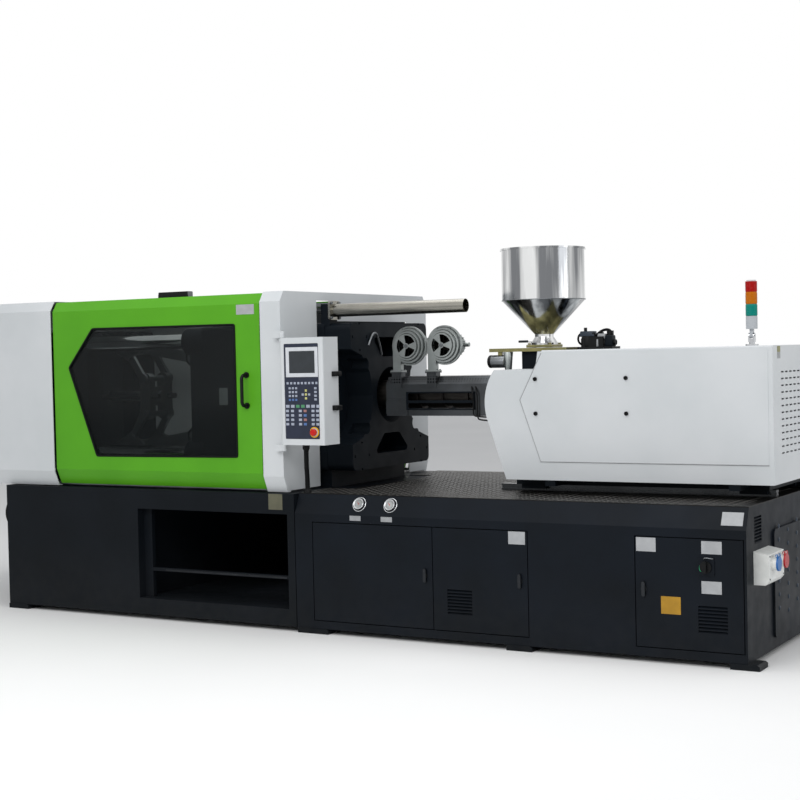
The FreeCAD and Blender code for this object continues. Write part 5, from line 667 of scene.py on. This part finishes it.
def smoked_sheet():
    """Smoked polycarbonate: the clamp shows darkly through it, and it mirrors a little."""
    finish, tree, shader, place = new_finish("smoked_sheet")
    clear = add(tree, "BsdfTransparent", {"Color": linear("#d2d6d4")})
    tree.links.new(mottled(tree, place, 300, "#2b3032", "#262a2c"), shader.inputs["Base Color"])
    tree.links.new(grain(tree, place, 30, 0.06, 0.10), shader.inputs["Roughness"])
    facing = add(tree, "LayerWeight", {"Blend": 0.25})
    amount = add(tree, "MapRange", {"Value": facing.outputs["Fresnel"], "To Min": 0.16, "To Max": 0.5})
    blend = add(tree, "MixShader", {0: amount.outputs["Result"], 1: clear.outputs["BSDF"],
                                    2: shader.outputs["BSDF"]})
    output = next(n for n in tree.nodes if n.type == "OUTPUT_MATERIAL")
    tree.links.new(blend.outputs["Shader"], output.inputs["Surface"])
    return finish


def soften_corners(corners, radius):
    """A closed outline of (x, z) corners with each corner turned through a radius."""
    outline = []
    for index, corner in enumerate(corners):
        here = Vector(corner)
        for step, share in ((-1, 1), (-1, 0.5), (-1, 0.18), (1, 0.18), (1, 0.5), (1, 1)):
            toward = Vector(corners[(index + step) % len(corners)]) - here
            outline.append(here + toward.normalized() * radius * share)
        middle = (outline[-4] + outline[-3]) / 2
        outline[-4] = outline[-4].lerp(middle, 0.4)
        outline[-3] = outline[-3].lerp(middle, 0.4)
    return outline


# Leaf green enamel, the glossiest of the paints.
green_enamel = sprayed_enamel("green_enamel", "#55a11e", "#509a1c", 0.36, 0.2)
coat(gate_enamel(green_enamel), "front_gate", "rear_gate")
coat(smoked_sheet(), "front_gate_window")
coat(black_nylon, "front_gate_handle")
for face, depth in BEAD_DEPTHS:
    for side, y in (("front", depth), ("rear", 2 * AXIS_Y - depth)):
        bead = pipe([(x, y, z) for x, z in soften_corners(WINDOW_CORNERS, 30)], 6, closed=True)
        dress(bead, "%s_gate_%s_gasket" % (side, face), "%s_gate_body" % side, black_rubber)


# ---- Gate rails and lock cap ----
# The gates hang on and slide along rails of milled steel.  A moulded black cap covers
# the gate lock's bolt on the upper rail.
coat(machined_steel, "gate_rails")
cap = taper(block((1203.5, 110, 1950), (1438.5, 160.5, 2004)), UP, (0.96, 1, 1))
dress(smooth(ease(cap, 3, 3)), "gate_lock_cap", "machine_base", black_nylon)


# ---- Safety bar tube ----
# A drawn steel tube guards the safety bar where it runs out over the injection unit.
# Its flange is held to the platen by four socket-head screws.
# Cold-drawn tube: warm grey and glossy, with streaks down its whole length.
drawn_tube = worked_steel("drawn_tube", "#96948c", "#8c8a83", 0.24, (0.005, 0.4, 0.4))
coat(drawn_tube, "safety_bar_tube")
screws("tube_flange_screws", [(2276, 450 + y, 1863 + z) for y in (-44, 44) for z in (-44, 44)],
       RIGHT, 9, "machine_base", machined_steel)


# ---- Operator panel ----
# The enamelled housing carries a dark membrane with keys under a framed screen, and the
# stop button sits on a yellow ring at the lower right.  Nylon caps close its side,
# and hexagonal glands hold the conduit at both ends.
PANEL = (2245, 1090)
PANEL_FACE = -97
DOWN = (0, 0, -1)


def on_panel(left, right, foot, top, depth, rise):
    """A block on the panel's face: its sides from the panel's corner, its depth and its rise."""
    return block((PANEL[0] + left, PANEL_FACE - rise, PANEL[1] + foot),
                 (PANEL[0] + right, PANEL_FACE + depth, PANEL[1] + top))


def key_group(name, places, width, height, finish):
    """Printed keys, each slightly domed under the membrane."""
    x, z = places[0]
    key = inset_end(on_panel(x, x + width, z, z + height, 0, 3.0), FRONT, (1.6, 0.6))
    ease(key, 0.5, 1)
    keys = joined([key] + repeated(key, [(u - x, 0, v - z) for u, v in places[1:]]))
    dress(keys, name, "panel_body", finish)


# Printed polyester film over the keys, in the print's own colours.
membrane_blue = moulded("membrane_blue", "#20273a", "#1c2233", 0.42)
key_grey = moulded("key_grey", "#a3a9b8", "#989fae", 0.45)
key_blue = moulded("key_blue", "#5674a8", "#4f6c9e", 0.45)
key_yellow = moulded("key_yellow", "#c2c07c", "#b5b372", 0.45)
key_red = moulded("key_red", "#a0736f", "#946a66", 0.45)
key_green = moulded("key_green", "#4d8a63", "#46805b", 0.45)
# A moulded frame round a dark sheet of glass, and a yellow moulded ring.
screen_frame = moulded("screen_frame", "#cfd2d6", "#c6c9ce", 0.35)
screen_glass = moulded("screen_glass", "#2c3136", "#272c30", 0.12)
yellow_ring = moulded("yellow_ring", "#e8b011", "#dca610", 0.35)
coat(white_enamel, "panel_housing")
coat(red_knob, "stop_button")
membrane = ease(on_panel(29, 261, 35, 575, 0, 1.5), 1)
dress(membrane, "panel_membrane", "panel_body", membrane_blue)
bezel = inset_end(on_panel(41, 258, 386, 555, -1, 4), FRONT, (20, 0), (1.5, -2))
dress(ease(bezel, 1.2), "screen_bezel", "panel_body", screen_frame)
screen = ease(on_panel(63, 236, 408, 533, -1.5, 2.8), 0.6)
dress(screen, "screen_glass", "panel_body", screen_glass)

key_group("keys_under_screen", [(43 + 24.4 * k, 345) for k in range(9)], 14, 13, key_grey)
left_block = [(56 + 22 * k, 317 - 22 * row) for k in range(3) for row in range(3)]
key_group("keys_left_block", left_block, 14, 12, key_grey)
key_group("keys_left_foot", [(56 + 22 * k, 251) for k in range(3)], 14, 12, key_blue)
key_group("keys_right_column", [(229, 316 - 21 * row) for row in range(4)], 17, 12, key_grey)
key_group("arrow_keys_upright", [(166, 303), (166, 281), (166, 259)], 14, 13, key_yellow)
key_group("arrow_keys_across", [(144, 281), (188, 281)], 14, 12, key_grey)
key_group("function_keys", [(35 + 34.5 * k, 212) for k in (0, 1, 4, 5, 6)], 24, 17, key_grey)
key_group("start_keys", [(35 + 34.5 * k, 212) for k in (2, 3)], 24, 17, key_green)
lower_block = [(x, 187 - 25 * row) for x in (34, 69, 122, 208, 239) for row in range(4)]
key_group("lower_keys", lower_block, 20, 14, key_grey)
key_group("heating_keys", [(155, 187), (155, 137)], 20, 14, key_red)
key_group("motor_keys", [(155, 162), (155, 112)], 20, 14, key_blue)

ring = dish(turned((2473, -101, 1164), FRONT, 30, 6), FRONT, 6, 2)
dress(smooth(ease(ring, 1)), "stop_button_ring", "panel_body", yellow_ring)
for level, z in (("lower", 1297), ("upper", 1490)):
    cap = block((2535.2, -10, z - 14.5), (2564, 58, z + 14.5))
    taper(cap, RIGHT, (1, 0.86, 0.96))
    dress(smooth(ease(cap, 3, 3)), "service_cap_%s" % level, "panel_body", black_nylon)
gland = inset_end(turned((2338, 10, 1090), DOWN, 21, 26, 6), DOWN, (4, 10))
dress(ease(gland, 1), "conduit_gland", "panel_body", black_nylon)
foot_gland = inset_end(turned((2306, 64, 804), UP, 23, 16, 6), UP, (5, 8))
dress(ease(foot_gland, 1), "conduit_foot_gland", "machine_base", black_nylon)


# ---- Injection unit ----
# The carriage and the ram are castings sprayed like the platens.  The barrel, browned
# by its heater bands, is bolted to the carriage, and the screw turns inside it.
# Steel browned by heat: dull and dark, with marks along its length.
heat_steel = worked_steel("heat_steel", "#4a4744", "#393634", 0.44, (0.1, 1, 1))
coat(casting_enamel, "injection_carriage", "injection_ram")
coat(heat_steel, "barrel")
coat(machined_steel, "screw")


# ---- Barrel guard ----
# Steel sheet folded over the barrel and punched with rows of round holes between the
# front fold and the blowers' seats, which let the heat out.  A flat frame of steel
# painted black is riveted round its two long slots, with a broad bar between them.
HOLE_PITCH = 18
FOLD_HEIGHT = 1412
SEAT_HEIGHT = 1456
SLOT_BARS = ((1356, 1364), (1296, 1312), (1256, 1264))


def punched_sheet():
    """Bare grey sheet, with rows of holes on its sloped band painted near black: painted shade inside the
    guard, seen through them.
    """
    finish, tree, shader, place = new_finish("punched_sheet")
    colour = mottled(tree, place, 160, "#515457", "#454749")
    cells = add(tree, "TexVoronoi", {"Vector": place, "Scale": per_metre(HOLE_PITCH), "Randomness": 0})
    hole = add(tree, "Math", {0: cells.outputs["Distance"], 1: 0.34}, operation="LESS_THAN")
    height = add(tree, "SeparateXYZ", {"Vector": place}).outputs["Z"]
    above = add(tree, "Math", {0: height, 1: mm(FOLD_HEIGHT)}, operation="GREATER_THAN")
    below = add(tree, "Math", {0: height, 1: mm(SEAT_HEIGHT)}, operation="LESS_THAN")
    slope = add(tree, "Math", {0: above.outputs["Value"], 1: below.outputs["Value"]}, operation="MULTIPLY")
    punched = add(tree, "Math", {0: hole.outputs["Value"], 1: slope.outputs["Value"]}, operation="MULTIPLY")
    # Painted shade: the holes are coloured near black for the dark inside of the guard.
    mix = add(tree, "Mix", {0: punched.outputs["Value"], 6: colour}, data_type="RGBA")
    mix.inputs[7].default_value = linear("#0a0a0b")
    tree.links.new(mix.outputs[2], shader.inputs["Base Color"])
    tree.links.new(grain(tree, place, 20, 0.28, 0.42), shader.inputs["Roughness"])
    shader.inputs["Metallic"].default_value = 0.9
    relief(tree, shader, grain(tree, place, 4, 0, 1), 0.02)
    return finish


coat(punched_sheet(), "barrel_guard")
bars = [block((2612, 693, low), (3078, 700, high)) for low, high in SLOT_BARS]
posts = [block((x, 693.5, 1257), (x + 12, 700, 1363)) for x in (2612.5, 3065.5)]
slot_frame = ease(joined(bars + posts), 1, 1)
dress(slot_frame, "guard_slot_frame", "carriage_body", casting_enamel)


# ---- Cooling pipes ----
# Two steel water pipes painted black come down the guard's front beside the slots
# and turn in under the injection cover.
for number, x, y, foot in ((1, 3100, 686, 1196), (2, 3074, 683, 1216)):
    line = ((x - 18, 700, 1392), (x - 6, y, 1368), (x, y, 1340), (x, y, 1240), (x, y, foot + 14),
            (x + 12, y, foot), (3166, y + 10, foot - 3))
    dress(pipe(line, 4.5), "cooling_pipe_%d" % number, "carriage_body", black_nylon)


# ---- Blowers ----
# Two blowers of cast aluminium stand on the guard, each held by screws through its
# foot and round its housing.  Ribs are cast along the motor, thin black rings laid
# between the rings of the housing are painted shade in its grooves, and a nut sits in
# the middle of its front.
BLOWER_AXIS = 1641
SHADE_RINGS = ((690, 75), (704, 91), (720, 107))
# Die-cast aluminium: pale grey, and dull from the mould.
cast_aluminium = worked_steel("cast_aluminium", "#a3a8a7", "#8f9493", 0.42, (1, 1, 1))
coat(cast_aluminium, "blower_1", "blower_2")
coat(dark_plate, "impeller_1", "impeller_2")
for number, x in ((1, 2627), (2, 2868)):
    rib = block((x - 2, 772, BLOWER_AXIS + 60), (x + 2, 866, BLOWER_AXIS + 74))
    taper(rib, UP, (0.5, 0.94, 1))
    centre = Matrix.Translation(at(x, 800, BLOWER_AXIS))
    swings = [Matrix.Rotation(math.radians(18 * turn), 4, "Y") for turn in range(1, 20)]
    ribs = joined([rib] + [copied(rib, centre @ swing @ centre.inverted()) for swing in swings])
    dress(ease(ribs, 0.8, 1), "blower_%d_ribs" % number, "carriage_body", cast_aluminium)
    # Black rubber rings between the housing's rings: painted shade in the grooves.
    shade_rings = joined([hoop((x, y, BLOWER_AXIS), (0, 1, 0), radius, 1.6) for y, radius in SHADE_RINGS])
    dress(shade_rings, "blower_%d_seals" % number, "carriage_body", black_rubber)
    hub = turned((x, 681, BLOWER_AXIS), FRONT, 13, 5, 6)
    dress(ease(hub, 1.2), "blower_%d_hub" % number, "carriage_body", machined_steel)
    angles = [math.radians(22.5 + 45 * turn) for turn in range(8)]
    circle = [(x + 110 * math.cos(a), 720, BLOWER_AXIS + 110 * math.sin(a)) for a in angles]
    screws("blower_%d_screws" % number, circle, FRONT, 5, "carriage_body", machined_steel)
    feet = [(x + across, y, 1493) for across in (-111, -43) for y in (700, 740)]
    screws("blower_%d_foot_screws" % number, feet, UP, 5, "carriage_body", machined_steel)


# ---- Hopper ----
# A bowl and cone of stainless sheet, closed by a weld up the back and one round the
# joint, with a flange screwed to a zinc-plated foot plate.  It slides on a plate that
# is zinc plated too.
HOPPER_X = 3457
BOWL_RADIUS = 243


def rolled_mirror():
    """Stainless sheet polished up and down, with painted reflection: its colour runs in upright bands, dark
    and light.
    """
    finish, tree, shader, place = new_finish("rolled_mirror")
    upright = add(tree, "Mapping", {"Vector": place, "Scale": (1, 1, 0.06)}).outputs["Vector"]
    # Painted reflection: upright bands of dark grey and near white in the colour stand for the room
    # mirrored in the sheet.
    bands = mottled(tree, upright, 95, "#77797c", "#e2e3e3", 0.40, 0.58)
    tree.links.new(bands, shader.inputs["Base Color"])
    tree.links.new(grain(tree, upright, 9, 0.07, 0.17), shader.inputs["Roughness"])
    shader.inputs["Metallic"].default_value = 1
    relief(tree, shader, grain(tree, upright, 40, 0, 1), 0.25)
    return finish


def passivated_zinc():
    """Yellow-passivated zinc: olive yellow with pinkish and greenish clouds."""
    finish, tree, shader, place = new_finish("passivated_zinc")
    tree.links.new(mottled(tree, place, 55, "#8a8358", "#77744f"), shader.inputs["Base Color"])
    tree.links.new(grain(tree, place, 12, 0.30, 0.48), shader.inputs["Roughness"])
    shader.inputs["Metallic"].default_value = 0.8
    relief(tree, shader, grain(tree, place, 3, 0, 1), 0.01)
    return finish


polished_sheet = rolled_mirror()
yellow_zinc = passivated_zinc()
coat(polished_sheet, "hopper")
coat(yellow_zinc, "hopper_slide_plate")
coat(gate_steel, "hopper_shutter")
foot_plate = block((HOPPER_X - 81, AXIS_Y - 81, 1612.8), (HOPPER_X + 81, AXIS_Y + 81, 1631.2))
dress(ease(foot_plate, 5, 3), "hopper_foot_plate", "hopper_body", yellow_zinc)
screws("hopper_base_screws", [(HOPPER_X + x, AXIS_Y + y, 1631) for x in (-66, 66) for y in (-66, 66)],
       UP, 9, "hopper_body", yellow_zinc)
seam_x, seam_y = HOPPER_X + BOWL_RADIUS * math.cos(2.2), AXIS_Y + BOWL_RADIUS * math.sin(2.2)
seam = pipe([(seam_x, seam_y, z) for z in (1892, 1990, 2085, 2178)], 2)
dress(seam, "hopper_seam", "hopper_body", polished_sheet)
joint = hoop((HOPPER_X, AXIS_Y, 1890), UP, BOWL_RADIUS, 2.6)
dress(joint, "hopper_joint", "hopper_body", machined_steel)


# ---- Drain chute and canister ----
# On the post beside the hopper hang a rolled sheet chute for spilt granules and a
# canister in a turned steel sleeve, with a stepped nylon cap on its left end.
CANISTER_AXIS = (719.5, 1537)
LEFT = (-1, 0, 0)
chute = turned((3290, 719.5, 1591.5), DOWN, 29, 108, 32)
taper(chute, DOWN, (0.68, 0.68, 1))
inset_end(chute, DOWN, (1.6, -4))
dress(smooth(ease(chute, 0.6)), "drain_chute", "carriage_body", cast_aluminium)
sleeve = turned((3190, *CANISTER_AXIS), RIGHT, 37.2, 84, 40)
for end in (LEFT, RIGHT):
    inset_end(sleeve, end, (2.5, 3))
dress(smooth(ease(sleeve, 1.2)), "canister_sleeve", "carriage_body", machined_steel)
end_cap = inset_end(turned((3190, *CANISTER_AXIS), LEFT, 37.5, 18, 40), LEFT, (6, 0), (0.3, 5))
dress(smooth(ease(end_cap, 1.5)), "canister_cap", "carriage_body", black_nylon)


# ---- Injection cover ----
# A folded cover sprayed like the guards is held by four black quarter-turn fasteners.
# A thin grey bead along its raised panel's edge is painted shadow, the line of that
# edge, and two bare plates stand one over the other at the top of its end.
PANEL_SHADOW_LINE = ((3672, 1581), (3539, 1325), (3659, 985), (4935, 985))
# Coated label stock in olive, evenly dull.
label_olive = moulded("label_olive", "#8b8a5c", "#7d7c52", 0.45)
coat(white_enamel, "injection_cover")
screws("cover_fasteners", [(x, 347, z) for x in (3635, 4167) for z in (1250, 1440)],
       FRONT, 11, "carriage_body", black_nylon)
for level, foot, top, finish in (("upper", 1562, 1592, label_olive), ("lower", 1529, 1561, label_grey)):
    sheet = inset_end(block((4959.5, 430, foot), (4961.2, 482, top)), RIGHT, (3, -0.4))
    dress(ease(sheet, 0.4, 1), "cover_plate_%s" % level, "carriage_body", finish)
# Painted shadow: a grey line traced round the raised panel's edge.
bead = pipe([(x, 348.5, z) for x, z in PANEL_SHADOW_LINE], 3, straight=True)
dress(bead, "cover_panel_shadow_line", "carriage_body", label_grey)


# ---- Signal tower ----
# Ribbed lenses of red, amber and green plastic are stacked on a grey body, which
# folds down on a chromed foot.  One finish colours them by height.
TOWER = (4808, 500)
RING_PITCH = 4.4
LAMP_EDGES = ((1751, "#aeb2b6"), (1813, "#058074"), (1876, "#b96805"), (1931, "#a00c0a"), (1945, "#d0d2d4"))


def lamp_lenses():
    """Coloured plastic over fine ribs, which blur what shines in it."""
    finish, tree, shader, place = new_finish("lamp_lenses")
    height = add(tree, "SeparateXYZ", {"Vector": place}).outputs["Z"]
    colour = add(tree, "RGB")
    colour.outputs[0].default_value = linear(LAMP_EDGES[0][1])
    below = colour.outputs[0]
    for (edge, _), (_, code) in zip(LAMP_EDGES, LAMP_EDGES[1:]):
        over = add(tree, "Math", {0: height, 1: mm(edge)}, operation="GREATER_THAN")
        mix = add(tree, "Mix", {0: over.outputs["Value"], 6: below}, data_type="RGBA")
        mix.inputs[7].default_value = linear(code)
        below = mix.outputs[2]
    tree.links.new(below, shader.inputs["Base Color"])
    shader.inputs["Specular IOR Level"].default_value = 0.15
    ribs = add(tree, "TexWave", {"Vector": place, "Scale": per_metre(4) / 20}, bands_direction="Z")
    tree.links.new(grain(tree, place, 10, 0.18, 0.30), shader.inputs["Roughness"])
    relief(tree, shader, ribs.outputs["Fac"], 0.25)
    return finish


lamp_stack = lamp_lenses()
coat(chromed_bar, "signal_tower_foot")
coat(lamp_stack, "signal_tower")
for name, low in (("green", 1756), ("amber", 1819), ("red", 1881)):
    first = hoop((*TOWER, low), UP, 29.6, 1.5)
    rings = joined([first] + repeated(first, [(0, 0, RING_PITCH * step) for step in range(1, 12)]))
    dress(rings, "%s_lens_rings" % name, "tower_body", lamp_stack)


# ---- Lubrication valve ----
# A nylon distributor on the cover carries two black coils, a grey terminal head and
# tag, a breather and a plug, and two short rubber hoses that are pushed on.
VALVE_PARTS = (
    ("valve_coil_left", (3701, 34, 1610), (3762, 34, 1673), 5, black_nylon),
    ("valve_head", (3689, 27, 1669), (3781, 27, 1701), 4, motor_enamel),
    ("valve_coil_right", (3848, 36, 1610), (3892, 36, 1675), 7, casting_enamel),
    ("valve_terminal", (3797, 24, 1655), (3847, 24, 1685), 6, label_grey),
    ("valve_tag", (3800, 41, 1612), (3811, 30, 1660), 1, label_grey),
)
VALVE_HOSES = (
    ("left", 6, ((3704, 0, 1690), (3684, -8, 1688), (3674, -14, 1656), (3686, -10, 1626), (3706, 0, 1620))),
    ("right", 8, ((3776, 0, 1660), (3790, 0, 1684), (3832, 0, 1708), (3868, 0, 1706), (3878, 0, 1682),
                  (3878, 0, 1662))),
)
coat(black_nylon, "valve_block")
for name, (x0, front, z0), (x1, behind, z1), round_off, finish in VALVE_PARTS:
    part = taper(block((x0, AXIS_Y - front, z0), (x1, AXIS_Y + behind, z1)), UP, (0.9, 0.9, 1))
    dress(smooth(ease(part, round_off, 3)), name, "carriage_body", finish)
breather = inset_end(turned((3718, AXIS_Y, 1699), UP, 9.5, 23, 24), UP, (2, -2))
dress(smooth(ease(breather, 1)), "valve_breather", "carriage_body", black_nylon)
plug = dish(turned((3890, AXIS_Y, 1634), RIGHT, 16, 16, 24), RIGHT, 3, 2)
dress(smooth(ease(plug, 1.5)), "valve_plug", "carriage_body", black_nylon)
for side, radius, line in VALVE_HOSES:
    hose = pipe([(x, AXIS_Y + y, z) for x, y, z in line], radius)
    dress(hose, "valve_hose_%s" % side, "carriage_body", black_rubber)


# ---- Floor and light ----
# A matt white floor under broad soft lamps in front, above and at the injection end,
# as in a catalogue studio.  The camera, gloss and glass see a white room round it.
bpy.ops.mesh.primitive_plane_add(size=60, location=(0, 0, 0))
floor = bpy.context.active_object
floor.name = "studio_floor"
floor_finish, tree, shader, place = new_finish("studio_floor")
tree.links.new(mottled(tree, place, 2500, "#f4f4f3", "#f1f1f0"), shader.inputs["Base Color"])
shader.inputs["Roughness"].default_value = 0.9
floor.data.materials.append(floor_finish)

world = bpy.data.worlds.new("studio")
bpy.context.scene.world = world
world.use_nodes = True
sky = world.node_tree
sky.nodes.clear()
rays = add(sky, "LightPath").outputs
seen = add(sky, "Math", {0: rays["Is Camera Ray"], 1: rays["Is Glossy Ray"]}, operation="MAXIMUM")
seen = add(sky, "Math", {0: seen.outputs["Value"], 1: rays["Is Transmission Ray"]}, operation="MAXIMUM")
ambient = add(sky, "Background", {"Color": linear("#f2f4f8"), "Strength": 0.5})
backdrop = add(sky, "Background", {"Color": linear("#ffffff"), "Strength": 1.0})
blend = add(sky, "MixShader", {0: seen.outputs["Value"], 1: ambient.outputs["Background"],
                               2: backdrop.outputs["Background"]})
add(sky, "OutputWorld", {"Surface": blend.outputs["Shader"]})


def soft_box(name, place, width, height, power):
    """A rectangular lamp that faces the machine's middle."""
    light = bpy.data.lights.new(name, "AREA")
    light.shape = "RECTANGLE"
    light.size = width
    light.size_y = height
    light.energy = power
    fixture = bpy.data.objects.new(name, light)
    fixture.location = place
    fixture.rotation_euler = (at(2400, AXIS_Y, 1000) - Vector(place)).to_track_quat("-Z", "Y").to_euler()
    bpy.context.scene.collection.objects.link(fixture)


soft_box("front_soft_box", (1.5, -7.0, 5.0), 6, 3, 250)
soft_box("top_soft_box", (0.0, 0.0, 6.5), 7, 4, 190)
soft_box("end_soft_box", (7.5, -1.0, 3.5), 3, 3, 85)
bpy.context.scene.view_settings.view_transform = "Standard"
